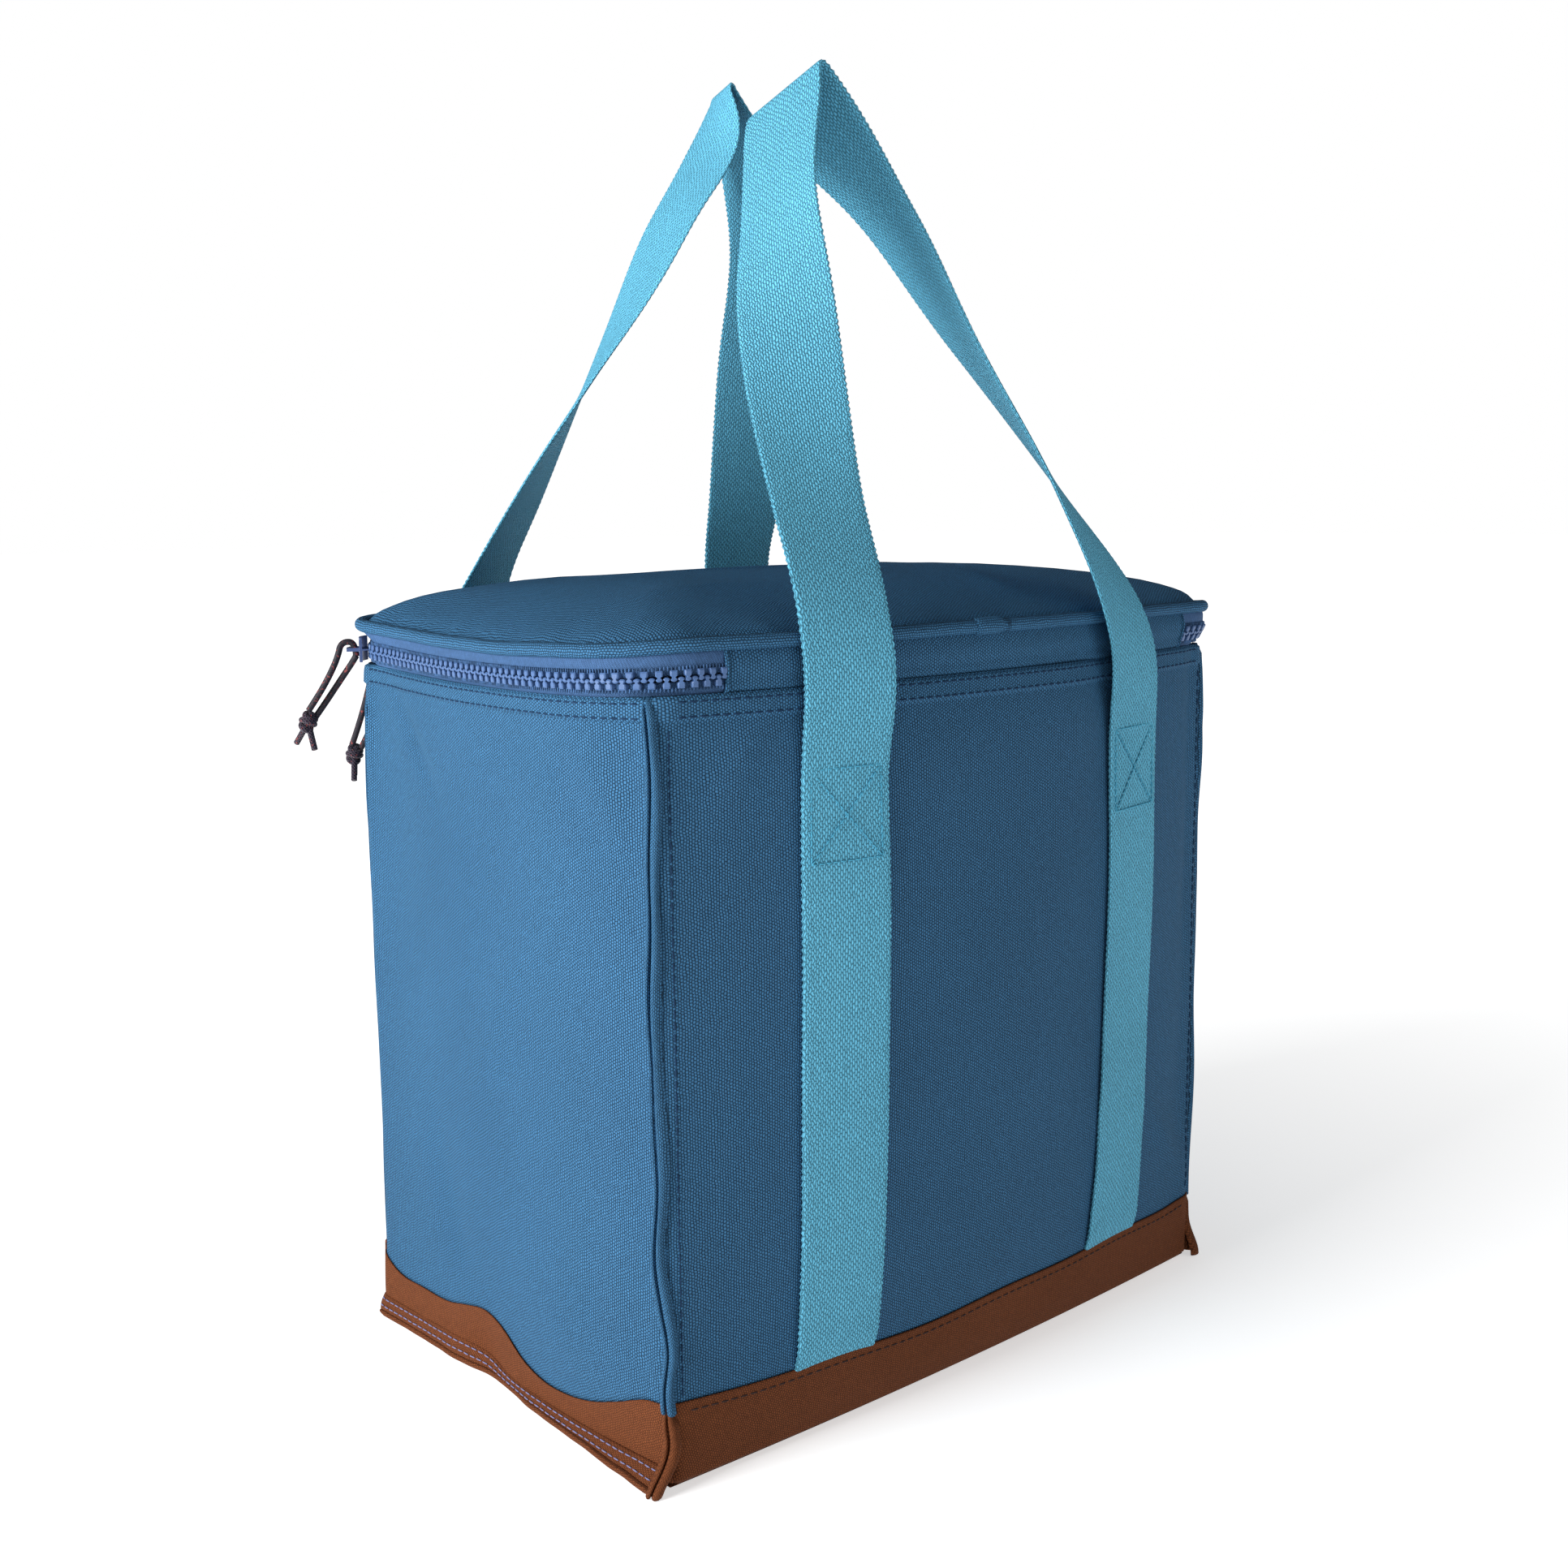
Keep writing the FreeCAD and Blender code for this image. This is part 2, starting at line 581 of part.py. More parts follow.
def cord_path(points):
    """Straight runs joined by tangent arcs, each 0.45 of its shorter run. Gives edges and radii."""
    edges = []
    radii = []
    start = points[0]
    for before, corner, after in zip(points, points[1:], points[2:]):
        inward = (corner - before)
        onward = (after - corner)
        shorter = min(inward.Length, onward.Length)
        inward = inward.normalize()
        onward = onward.normalize()
        half_turn = inward.getAngle(onward) / 2
        cut = 0.45 * shorter
        radii.append(cut / math.tan(half_turn))
        first = corner - inward * cut
        last = corner + onward * cut
        bend = (onward - inward).normalize()
        middle = corner + bend * (radii[-1] / math.cos(half_turn) - radii[-1])
        edges.append(Part.LineSegment(start, first).toShape())
        edges.append(Part.Arc(first, middle, last).toShape())
        start = last
    edges.append(Part.LineSegment(start, points[-1]).toShape())
    return edges, radii


def cord_tube(label, points):
    """A plain round cord along the route."""
    edges, radii = cord_path(points)
    wire = Part.Wire(edges)
    radius = size["cord"] / 2
    direction = (points[1] - points[0]).normalize()
    profile = Part.Wire([Part.makeCircle(radius, points[0], direction)])
    shape = wire.makePipeShell([profile], True, False)
    expected = math.pi * radius ** 2 * wire.Length
    print(label, "radii", [round(r, 1) for r in radii], "length", round(wire.Length, 1),
          "volume share", round(shape.Volume / expected, 3))
    if abs(shape.Volume / expected - 1) > 0.02:
        raise RuntimeError(label + " does not have its section times its length")
    feature = doc.addObject("Part::Feature", label)
    feature.Label = label
    feature.Shape = shape
    feature.Placement = FreeCAD.Placement()
    made.append(feature)


def cord_knot(label, place, spot, tails):
    """The knot below the strands, with its two cut tails."""
    centre = place(spot)
    ball = doc.addObject("Part::Sphere", label + "_ball")
    ball.setExpression("Radius", formula("{knot} / 2"))
    ball.Placement = FreeCAD.Placement(centre, FreeCAD.Rotation())
    shapes = [ball]
    for number, tail in enumerate(tails):
        rod = doc.addObject("Part::Cylinder", "%s_tail_%d" % (label, number))
        rod.setExpression("Radius", formula("{cord} / 2"))
        rod.setExpression("Height", formula("{tail_length}"))
        direction = place(tuple(a + b for a, b in zip(spot, tail))) - centre
        rod.Placement = FreeCAD.Placement(centre, FreeCAD.Rotation(FreeCAD.Vector(0, 0, 1), direction))
        shapes.append(rod)
    knot = doc.addObject("Part::MultiFuse", label)
    knot.Label = label
    knot.Shapes = shapes
    made.append(knot)


ANGLES = {"corner": CORNER_SLIDER_ANGLE, "back": back_slider_angle}
CENTRES = {"corner": (-corner_x, corner_y), "back": (0, long_centre)}
RADII = {"corner": size["corner_radius"], "back": long_radius}
for name in ("corner", "back"):
    place_spot = slider_frame(CENTRES[name], RADII[name], ANGLES[name])
    cord_tube(name + "_pull_front_strand", [place_spot(spot) for spot in FRONT_STRAND[name]])
    cord_tube(name + "_pull_rear_strand", [place_spot(spot) for spot in REAR_STRAND[name]])
    cord_knot(name + "_pull_knot", place_spot, KNOTS[name], TAILS[name])
    print(name, "bar", place_spot((0, 0, 0)), "arc centre", CENTRES[name])

doc.recompute()
for item in doc.Objects:
    if "Invalid" in item.State or "Error" in item.State:
        raise RuntimeError("%s is %s" % (item.Label, item.State))
for part in made:
    if part.Shape.isNull() or not part.Shape.isValid() or not part.Shape.Solids:
        raise RuntimeError(part.Label + " has no valid solid")

os.makedirs("parts", exist_ok=True)
for part in made:
    part.Shape.exportStep("parts/%s.step" % part.Label)
print(len(made), "parts")
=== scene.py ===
import math
import bmesh
import bpy
import numpy as np
from mathutils import Matrix, Vector, noise


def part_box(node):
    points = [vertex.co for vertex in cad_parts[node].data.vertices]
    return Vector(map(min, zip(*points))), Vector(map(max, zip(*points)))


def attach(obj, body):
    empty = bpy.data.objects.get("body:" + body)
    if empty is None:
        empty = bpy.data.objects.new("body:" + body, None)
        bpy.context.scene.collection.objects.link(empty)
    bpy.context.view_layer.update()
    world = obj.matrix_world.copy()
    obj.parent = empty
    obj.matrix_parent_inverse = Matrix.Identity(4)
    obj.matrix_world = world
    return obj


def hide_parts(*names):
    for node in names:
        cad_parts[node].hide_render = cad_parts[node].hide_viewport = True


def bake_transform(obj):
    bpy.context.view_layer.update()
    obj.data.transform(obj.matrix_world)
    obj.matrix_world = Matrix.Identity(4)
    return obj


# Looks of the insulated cooler bag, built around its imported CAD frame. Metres, +Z up.
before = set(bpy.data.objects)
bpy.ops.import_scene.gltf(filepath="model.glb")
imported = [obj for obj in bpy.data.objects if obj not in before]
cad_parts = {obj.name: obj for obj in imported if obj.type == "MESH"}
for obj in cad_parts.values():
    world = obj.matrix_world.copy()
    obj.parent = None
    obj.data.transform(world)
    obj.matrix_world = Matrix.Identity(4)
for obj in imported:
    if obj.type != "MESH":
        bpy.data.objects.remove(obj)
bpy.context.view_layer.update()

# Sizes, from the frame where it has them
MM = 0.001
HALF = -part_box("left_base_seam")[1].x
DEPTH = 0.100
BAND_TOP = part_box("base_wrap")[1].z
BODY_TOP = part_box("front_panel")[1].z
RIM_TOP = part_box("upper_zip_tape")[1].z
ZIP_LEVEL = (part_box("lower_zip_teeth")[1].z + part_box("upper_zip_teeth")[0].z) / 2
ZIP_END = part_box("lower_hinge_strip")[1].x + 0.3 * MM
PIPING_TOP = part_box("lid_piping")[1].z
LID_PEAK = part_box("lid_top_panel")[1].z
LINER_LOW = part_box("liner_floor")[0].z
STRAP_X = (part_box("front_right_strap")[0].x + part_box("front_right_strap")[1].x) / 2
WEBBING_HALF = (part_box("front_right_strap")[1].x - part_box("front_right_strap")[0].x) / 2
STRAP_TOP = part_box("front_right_strap")[1].z
PIPING_RADIUS = 2.6 * MM
UP = Vector((0, 0, 1))


# ---------------------------------------------------------------- numbers and curves
def through(stops, x):
    """A smooth curve through (place, value) stops. Values may be vectors."""
    xs = np.array([s[0] for s in stops], float)
    ys = np.array([s[1] for s in stops], float)
    x = np.clip(np.asarray(x, float), xs[0], xs[-1])
    slopes = np.gradient(ys, xs, axis=0)
    i = np.clip(np.searchsorted(xs, x, side="right") - 1, 0, len(xs) - 2)
    width = xs[i + 1] - xs[i]
    t = (x - xs[i]) / width
    if ys.ndim > 1:
        t, width = t[..., None], width[..., None]
    low = (2 * t**3 - 3 * t**2 + 1) * ys[i] + (t**3 - 2 * t**2 + t) * width * slopes[i]
    high = (3 * t**2 - 2 * t**3) * ys[i + 1] + (t**3 - t**2) * width * slopes[i + 1]
    return low + high


def ease(low, high, x):
    t = np.clip((np.asarray(x, float) - low) / (high - low), 0, 1)
    return t * t * (3 - 2 * t)


def bell(x, centre, width):
    return np.exp(-(((np.asarray(x, float) - centre) / width) ** 2))


def unit(v):
    return v / np.maximum(np.linalg.norm(v, axis=-1, keepdims=True), 1e-12)


def lengths_along(path):
    """How far along a path each of its points is."""
    return np.r_[0, np.cumsum(np.linalg.norm(np.diff(path, axis=0), axis=1))]


def picked(places, length, path):
    """The path's points, or vectors held at them, at other places along it."""
    return np.stack([np.interp(places, length, path[:, k]) for k in range(3)], -1)


def ripple(points, size, seed):
    """Smooth noise from -1 to 1 at each point, with features of that size."""
    flat = np.asarray(points).reshape(-1, 3) / size + seed * 7.31
    values = [noise.noise(Vector(p)) for p in flat]
    return np.array(values).reshape(np.shape(points)[:-1])


# ---------------------------------------------------------------- the bag's plan and its settling
def fullness(z):
    """How far the middle of a long side stands out past its corners."""
    stops = ((0, 4), (12, 9), (30, 13), (60, 17.5), (110, 21), (170, 23.2), (230, 23.4),
             (258, 22.5), (280, 19.6), (300, 19.0), (330, 18.5))
    return through([(a * MM, b * MM) for a, b in stops], z)


def corner_radius(z):
    stops = ((0, 5), (40, 6), (200, 6), (255, 7), (272, 9), (280, 13), (283, 19), (286, 20), (330, 20))
    return through([(a * MM, b * MM) for a, b in stops], z)


def plan_point(side, place, z, out=0.0):
    """Points of the walls at arrays of height z, moved outward by out. place runs from -1 to 1
    between the middles of a side's two corners. Gives points, outward normals and lengths."""
    place = np.asarray(place, float) + 0 * np.asarray(z, float)
    z = np.asarray(z, float) + 0 * place
    full = fullness(z)
    radius = corner_radius(z)
    x_touch = HALF - radius
    for _ in range(6):
        slope = 2 * full * x_touch / HALF**2
        lean = slope / np.sqrt(1 + slope**2)
        x_touch = HALF - radius + radius * lean
    y_touch = DEPTH + full * (1 - (x_touch / HALF) ** 2)
    turn = np.arctan2(np.sqrt(1 - lean**2), lean)
    centre_x = x_touch - radius * np.cos(turn)
    centre_y = y_touch - radius * np.sin(turn)
    straight = x_touch if side in ("front", "back") else centre_y
    arc_turn = turn / 2
    half_length = straight + radius * arc_turn
    along = np.abs(place) * half_length
    sign = np.where(place < 0, -1.0, 1.0)
    on_arc = np.clip((along - straight) / radius, 0, None)
    if side in ("front", "back"):
        x = np.minimum(along, straight)
        slope = 2 * full * x / HALF**2
        normal_x = slope / np.sqrt(1 + slope**2)
        angle = turn - on_arc
        flat_x, flat_y = x, DEPTH + full * (1 - (x / HALF) ** 2)
        curved = on_arc > 0
        px = np.where(curved, centre_x + radius * np.cos(angle), flat_x)
        py = np.where(curved, centre_y + radius * np.sin(angle), flat_y)
        nx = np.where(curved, np.cos(angle), normal_x)
        ny = np.sqrt(1 - nx**2)
        face = -1.0 if side == "front" else 1.0
        points = np.stack([sign * px, face * py, z], -1)
        normals = np.stack([sign * nx, face * ny, 0 * z], -1)
    else:
        face = -1.0 if side == "left" else 1.0
        px = centre_x + radius * np.cos(on_arc)
        py = np.where(on_arc > 0, centre_y + radius * np.sin(on_arc), along)
        points = np.stack([face * px, sign * py, z], -1)
        normals = np.stack([face * np.cos(on_arc), sign * np.sin(on_arc), 0 * z], -1)
    return points + normals * np.asarray(out)[..., None], normals, sign * along


LEFT_SWELL = ((-110, -1), (-92, 3), (-78, 8), (-62, 10.5), (-42, 11.5), (-15, 10), (15, 7.5),
              (50, 2.5), (84, -2), (110, -3))
RIGHT_SWELL = ((-110, 0), (-84, 4), (-50, 7), (0, 8), (50, 6), (84, 2), (110, 0))
SWELL_SHARE = ((0, 0), (12, 0.05), (35, 0.35), (90, 0.55), (180, 0.6), (250, 0.8), (282, 1), (310, 1),
               (330, 0.7))
DROP_SHARE = ((0, 0), (180, 0), (250, 0.2), (280, 1.7), (286, 2.3), (297, 3.7), (302, 3.4), (322, 1.5))


def settle(points):
    """The bag's own slackness, the same for every piece: its ends swell and their rims sag."""
    p = np.array(points, float)
    x, y, z = p[..., 0] / MM, p[..., 1] / MM, p[..., 2] / MM
    near_end = ease(95, 150, np.abs(x))
    swell = np.where(x < 0, through(LEFT_SWELL, y), through(RIGHT_SWELL, y))
    p[..., 0] += np.sign(x) * near_end * swell * through(SWELL_SHARE, z) * MM
    back_left = bell(np.hypot(x + 144, y - 98), 0, 24) * ease(289, 296, z)
    front_right = bell(np.hypot(x - 144, y + 98), 0, 22) * ease(278, 292, z)
    p[..., 0] += (4.8 * front_right - 4.6 * back_left) * MM
    p[..., 1] += (2.4 * back_left - 2.6 * front_right) * MM
    across = np.clip(1 - (y / 104) ** 2, 0, 1)
    p[..., 2] -= ease(100, 152, np.abs(x)) * across**0.8 * through(DROP_SHARE, z) * MM
    return p


def wall_relief(side, along, z):
    """How far a wall's cloth stands off its plan, from its wrinkles and padding, in metres."""
    u, v = along / MM, z / MM
    relief = 0 * u
    if side == "front":
        relief += 1.0 * bell(u, -10, 50) * bell(v, 150, 80)
        relief += 1.3 * bell(u + 0.35 * (v - 262), 42, 16) * bell(v, 262, 20)
        relief -= 1.4 * bell(u, -60, 7) * ease(210, 262, v)
        relief -= 1.4 * bell(u, 60, 7) * ease(210, 262, v)
        relief += 1.6 * bell(u + 0.9 * (v - 70), 118, 9) * bell(v, 62, 34)
        relief -= 1.0 * bell(u, 136, 9) * bell(v, 90, 60)
        relief += 1.1 * bell(u + 118 - 0.5 * (v - 262), 0, 8) * bell(v, 256, 16)
        relief -= 1.2 * bell(u, 138, 5) * ease(60, 200, v)
    if side == "left":
        relief += 3.0 * bell(u, -42, 40) * bell(v, 42, 34)
        relief -= 3.2 * bell(u, 20, 15) * bell(v, 8, 16)
        relief += 2.2 * bell(u, 28, 13) * bell(v, 26, 15)
        relief -= 1.6 * bell(u - 0.28 * (v - 60), 36, 12) * bell(v, 62, 45)
        relief -= 1.5 * bell(u, 78, 22) * bell(v, 215, 60)
        relief += 1.1 * bell(u + 0.5 * (v - 150), -5, 14) * bell(v, 150, 40)
        relief -= 2.0 * bell(u, 92, 12) * bell(v, 262, 26)
        relief -= 1.8 * bell(u - 62 - 0.9 * (v - 262), 0, 8) * bell(v, 254, 22)
        relief += 1.4 * bell(u + 70 - 0.5 * (v - 262), 0, 9) * bell(v, 248, 24)
        relief -= 1.2 * bell(u + 30, 0, 22) * bell(v, 262, 10)
    if side == "right":
        relief += 2.2 * bell(u, 30, 36) * bell(v, 46, 34)
        relief -= 2.2 * bell(u, -30, 18) * bell(v, 14, 16)
        relief += 1.2 * bell(u, -10, 40) * bell(v, 150, 60)
    if side == "back":
        relief += 1.2 * bell(u, 20, 45) * bell(v, 130, 70)
        relief -= 1.4 * bell(u, 60, 7) * ease(210, 262, v)
        relief -= 1.4 * bell(u, -60, 7) * ease(210, 262, v)
        relief += 1.2 * bell(u - 0.8 * (v - 80), -100, 10) * bell(v, 80, 36)
    return relief * MM


def wall(side, place, z, out=0.0):
    """A point grid on a settled, wrinkled wall, with its lengths along the wall for the weave."""
    points, normals, along = plan_point(side, place, z)
    relief = wall_relief(side, along, points[..., 2])
    relief = relief + 0.7 * MM * ripple(points, 55 * MM, 3) * ease(1, 12, points[..., 2] / MM)
    relief = relief * (1 - ease(0.93, 1.0, np.abs(place)) * 0.8)
    points = points + normals * (relief + np.asarray(out))[..., None]
    return settle(points), along


# ---------------------------------------------------------------- meshes
def mesh_piece(name, points, faces, uvs, material):
    mesh = bpy.data.meshes.new(name)
    mesh.from_pydata([tuple(p) for p in np.asarray(points).reshape(-1, 3)], [], faces)
    layer = mesh.uv_layers.new(name="weave")
    index = np.zeros(len(mesh.loops), int)
    mesh.loops.foreach_get("vertex_index", index)
    flat = np.asarray(uvs, float).reshape(-1, 2)[index]
    layer.data.foreach_set("uv", flat.ravel())
    mesh.polygons.foreach_set("use_smooth", [True] * len(mesh.polygons))
    mesh.validate()
    shape = bmesh.new()
    shape.from_mesh(mesh)
    bmesh.ops.recalc_face_normals(shape, faces=shape.faces)
    shape.to_mesh(mesh)
    shape.free()
    mesh.materials.append(material)
    piece = bpy.data.objects.new(name, mesh)
    bpy.context.scene.collection.objects.link(piece)
    return piece


def grid_faces(rows, columns, first=0, close=False, flip=False):
    faces = []
    for i in range(rows - 1):
        for j in range(columns if close else columns - 1):
            k = (j + 1) % columns
            quad = (first + i * columns + j, first + i * columns + k,
                    first + (i + 1) * columns + k, first + (i + 1) * columns + j)
            faces.append(quad[::-1] if flip else quad)
    return faces


def grid_normals(points):
    down = np.gradient(points, axis=0)
    across = np.gradient(points, axis=1)
    return unit(np.cross(across, down))


def cloth(name, points, uvs, thickness, material, outward):
    """A sheet with two faces and an edge all round, from a grid of points. outward is a vector, or a
    grid of them, on the side that the given points face."""
    rows, columns = points.shape[:2]
    normals = grid_normals(points)
    facing = np.sign(np.sum(normals * outward, axis=-1, keepdims=True).mean())
    normals = normals * facing
    inner = points - normals * thickness
    flip = facing < 0
    faces = grid_faces(rows, columns, 0, flip=flip)
    faces += grid_faces(rows, columns, rows * columns, flip=not flip)
    edge = [j for j in range(columns)]
    edge += [i * columns + columns - 1 for i in range(1, rows)]
    edge += [(rows - 1) * columns + j for j in range(columns - 2, -1, -1)]
    edge += [i * columns for i in range(rows - 2, 0, -1)]
    total = rows * columns
    for a, b in zip(edge, edge[1:] + edge[:1]):
        quad = (b, a, a + total, b + total)
        faces.append(quad[::-1] if flip else quad)
    both = np.concatenate([points.reshape(-1, 3), inner.reshape(-1, 3)])
    return mesh_piece(name, both, faces, np.concatenate([uvs.reshape(-1, 2)] * 2), material)


def path_frames(path, first_side):
    """Tangents and two directions square to them along a path, turned as little as possible."""
    path = np.asarray(path, float)
    tangents = unit(np.gradient(path, axis=0))
    side = np.asarray(first_side, float)
    sides = []
    for tangent in tangents:
        side = unit(side - tangent * side.dot(tangent))
        sides.append(side)
    sides = np.array(sides)
    return tangents, sides, np.cross(tangents, sides)


def tube(name, path, radius, material, first_side=(0, 0, 1), around=12, closed=False, flat=1.0, taper=()):
    """A round or flattened tube along a path of points, its ends capped flat or joined into a loop."""
    path = np.asarray(path, float)
    _, sides, thirds = path_frames(path, first_side)
    angles = np.linspace(0, 2 * math.pi, around, endpoint=False)
    radii = radius * np.ones(len(path))
    for number, share in enumerate(taper):
        radii[number] *= share
        radii[-1 - number] *= share
    ring = sides[:, None] * (np.cos(angles) * flat)[None, :, None]
    ring = ring + thirds[:, None] * np.sin(angles)[None, :, None]
    points = path[:, None] + ring * radii[:, None, None]
    length = lengths_along(path)
    uvs = np.stack(np.broadcast_arrays(radius * angles[None, :], length[:, None]), -1)
    faces = grid_faces(len(path), around, close=True)
    if closed:
        last = (len(path) - 1) * around
        faces += [(last + j, last + (j + 1) % around, (j + 1) % around, j) for j in range(around)]
    else:
        faces.append(tuple(range(around))[::-1])
        faces.append(tuple((len(path) - 1) * around + j for j in range(around)))
    return mesh_piece(name, points, faces, uvs, material)


def spaced(path, step):
    """Points at even steps along a path."""
    path = np.asarray(path, float)
    length = lengths_along(path)
    places = np.linspace(0, length[-1], max(2, int(round(length[-1] / step)) + 1))
    return picked(places, length, path)


def smooth_line(line, times):
    """Softens a path's kinks, leaving its ends."""
    line = line.copy()
    for _ in range(times):
        line[1:-1] = (line[:-2] + 2 * line[1:-1] + line[2:]) / 4
    return line


def stitches(name, paths, material, normals, length=2.9 * MM, gap=1.2 * MM, radius=0.36 * MM):
    """Rows of thread stitches lying along paths. Each stitch is a small capsule sunk at both ends."""
    points, faces = [], []
    for number, path in enumerate(paths):
        normal = np.asarray(normals[number], float)
        marks = spaced(path, length + gap)
        for a, b in zip(marks, marks[1:]):
            along = b - a
            span = np.linalg.norm(along)
            along = along / span
            lift_way = unit(normal - along * normal.dot(along))
            side = np.cross(along, lift_way)
            first = len(points)
            for share, width in ((0.0, 0.35), (0.14, 0.9), (0.4, 1.0), (0.66, 0.9), (0.8, 0.35)):
                middle = a + along * span * share + lift_way * (0.1 * MM + (width - 1) * radius)
                for k in range(6):
                    angle = math.pi * k / 3
                    way = math.cos(angle) * side + math.sin(angle) * lift_way
                    points.append(middle + radius * width * way)
            faces += grid_faces(5, 6, first, close=True)
            faces.append(tuple(first + k for k in range(6))[::-1])
            faces.append(tuple(first + 24 + k for k in range(6)))
    return mesh_piece(name, np.array(points), faces, np.zeros((len(points), 2)), material)


def place_piece(piece, body, slot, *nodes):
    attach(piece, body)
    if nodes:
        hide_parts(*nodes)
    return piece


# ---------------------------------------------------------------- materials
class Shader:
    """A material under construction, with short names for the nodes that it needs."""

    def __init__(self, name, roughness, sheen=0.0, metallic=0.0, specular=0.3):
        self.material = bpy.data.materials.new(name)
        self.material.use_nodes = True
        self.nodes = self.material.node_tree.nodes
        self.links = self.material.node_tree.links
        self.shader = self.nodes["Principled BSDF"]
        self.shader.inputs["Roughness"].default_value = roughness
        self.shader.inputs["Metallic"].default_value = metallic
        self.shader.inputs["Specular IOR Level"].default_value = specular
        self.shader.inputs["Sheen Weight"].default_value = sheen
        self.shader.inputs["Sheen Roughness"].default_value = 0.4

    def node(self, kind, **values):
        made = self.nodes.new(kind)
        for key, setting in values.items():
            setattr(made, key, setting)
        return made

    def feed(self, socket, thing):
        if isinstance(thing, bpy.types.NodeSocket):
            self.links.new(thing, socket)
        else:
            socket.default_value = thing

    def math(self, operation, a, b=None):
        made = self.node("ShaderNodeMath", operation=operation)
        for socket, thing in zip(made.inputs, (a, b)):
            if thing is not None:
                self.feed(socket, thing)
        return made.outputs[0]

    def uv(self):
        """The weave's own coordinates, in metres, as two sockets."""
        source = self.node("ShaderNodeUVMap", uv_map="weave")
        split = self.node("ShaderNodeSeparateXYZ")
        self.links.new(source.outputs[0], split.inputs[0])
        return split.outputs[0], split.outputs[1]

    def noise(self, size, detail=2.0):
        """Noise over the object's own space with features of about that size."""
        source = self.node("ShaderNodeTexCoord")
        made = self.node("ShaderNodeTexNoise")
        made.inputs["Scale"].default_value = 1 / size
        made.inputs["Detail"].default_value = detail
        self.links.new(source.outputs["Object"], made.inputs["Vector"])
        return made.outputs[0]

    def mix(self, factor, a, b):
        made = self.node("ShaderNodeMix", data_type="RGBA")
        self.feed(made.inputs[0], factor)
        for socket, thing in ((made.inputs[6], a), (made.inputs[7], b)):
            self.feed(socket, (*thing, 1) if isinstance(thing, tuple) else thing)
        return made.outputs[2]

    def span(self, value, low, high, to_low=0.0, to_high=1.0):
        made = self.node("ShaderNodeMapRange")
        self.feed(made.inputs[0], value)
        for number, setting in enumerate((low, high, to_low, to_high), start=1):
            made.inputs[number].default_value = setting
        return made.outputs[0]

    def finish(self, color, height=None, distance=0.0, strength=1.0):
        self.feed(self.shader.inputs["Base Color"], (*color, 1) if isinstance(color, tuple) else color)
        if height is not None:
            bump = self.node("ShaderNodeBump")
            bump.inputs["Strength"].default_value = strength
            bump.inputs["Distance"].default_value = distance
            self.links.new(height, bump.inputs["Height"])
            self.links.new(bump.outputs[0], self.shader.inputs["Normal"])
        return self.material

    def weave(self, pitch_u, pitch_v, slant=0.0):
        """Columns of oval thread loops, each column half a loop off its neighbours. Gives their height."""
        u, v = self.uv()
        u = self.math("ADD", u, self.span(self.noise(4 * MM, 1), 0.25, 0.75, -0.3 * pitch_u, 0.3 * pitch_u))
        v = self.math("ADD", v, self.span(self.noise(5 * MM, 1), 0.25, 0.75, -0.3 * pitch_v, 0.3 * pitch_v))
        if slant:
            u = self.math("ADD", u, self.math("MULTIPLY", v, slant))
        a = self.math("DIVIDE", u, pitch_u)
        column = self.math("FLOORED_MODULO", self.math("FLOOR", a), 2.0)
        b = self.math("ADD", self.math("DIVIDE", v, pitch_v), self.math("MULTIPLY", column, 0.5))
        hill_a = self.math("ABSOLUTE", self.math("SINE", self.math("MULTIPLY", a, math.pi)))
        hill_b = self.math("ABSOLUTE", self.math("SINE", self.math("MULTIPLY", b, math.pi)))
        return self.math("MULTIPLY", self.math("POWER", hill_a, 0.7), self.math("POWER", hill_b, 0.6))


def woven(name, color, pitch_u, pitch_v, roughness, sheen, depth, gap_shade=0.3, loop_highlight=1.5, slant=0.0):
    """Woven cloth: rounded loops of thread with painted shade in the gaps between them and painted highlights
    on their tops, uneven threads and slow changes of tone.
    """
    cloth_shader = Shader(name, roughness, sheen, specular=0.12)
    height = cloth_shader.weave(pitch_u, pitch_v, slant)
    # Painted light: the thread colour runs from painted shade in the gaps between loops (dark) to painted
    # highlight on the loop tops (light), following the loop height.
    dark = tuple(c * gap_shade for c in color)
    light = tuple(min(1.0, c * loop_highlight) for c in color)
    threads = cloth_shader.mix(cloth_shader.span(height, 0.1, 0.95), dark, light)
    slub = cloth_shader.noise(1.6 * MM, 2)
    tone = cloth_shader.noise(70 * MM, 3)
    shade = cloth_shader.math("MULTIPLY", cloth_shader.span(slub, 0.3, 0.7, 0.88, 1.12),
                              cloth_shader.span(tone, 0.3, 0.7, 0.95, 1.05))
    shaded = cloth_shader.node("ShaderNodeVectorMath", operation="SCALE")
    cloth_shader.links.new(threads, shaded.inputs[0])
    cloth_shader.links.new(shade, shaded.inputs["Scale"])
    lumps = cloth_shader.math("ADD", height, cloth_shader.math("MULTIPLY", slub, 0.25))
    return cloth_shader.finish(shaded.outputs[0], lumps, depth)


PANEL_BLUE = (0.0285, 0.098, 0.190)
BAND_BROWN = (0.132, 0.040, 0.0140)
WEB_BLUE = (0.120, 0.435, 0.62)
TAPE_BLUE = (0.046, 0.105, 0.225)
TEETH_BLUE = (0.055, 0.115, 0.26)


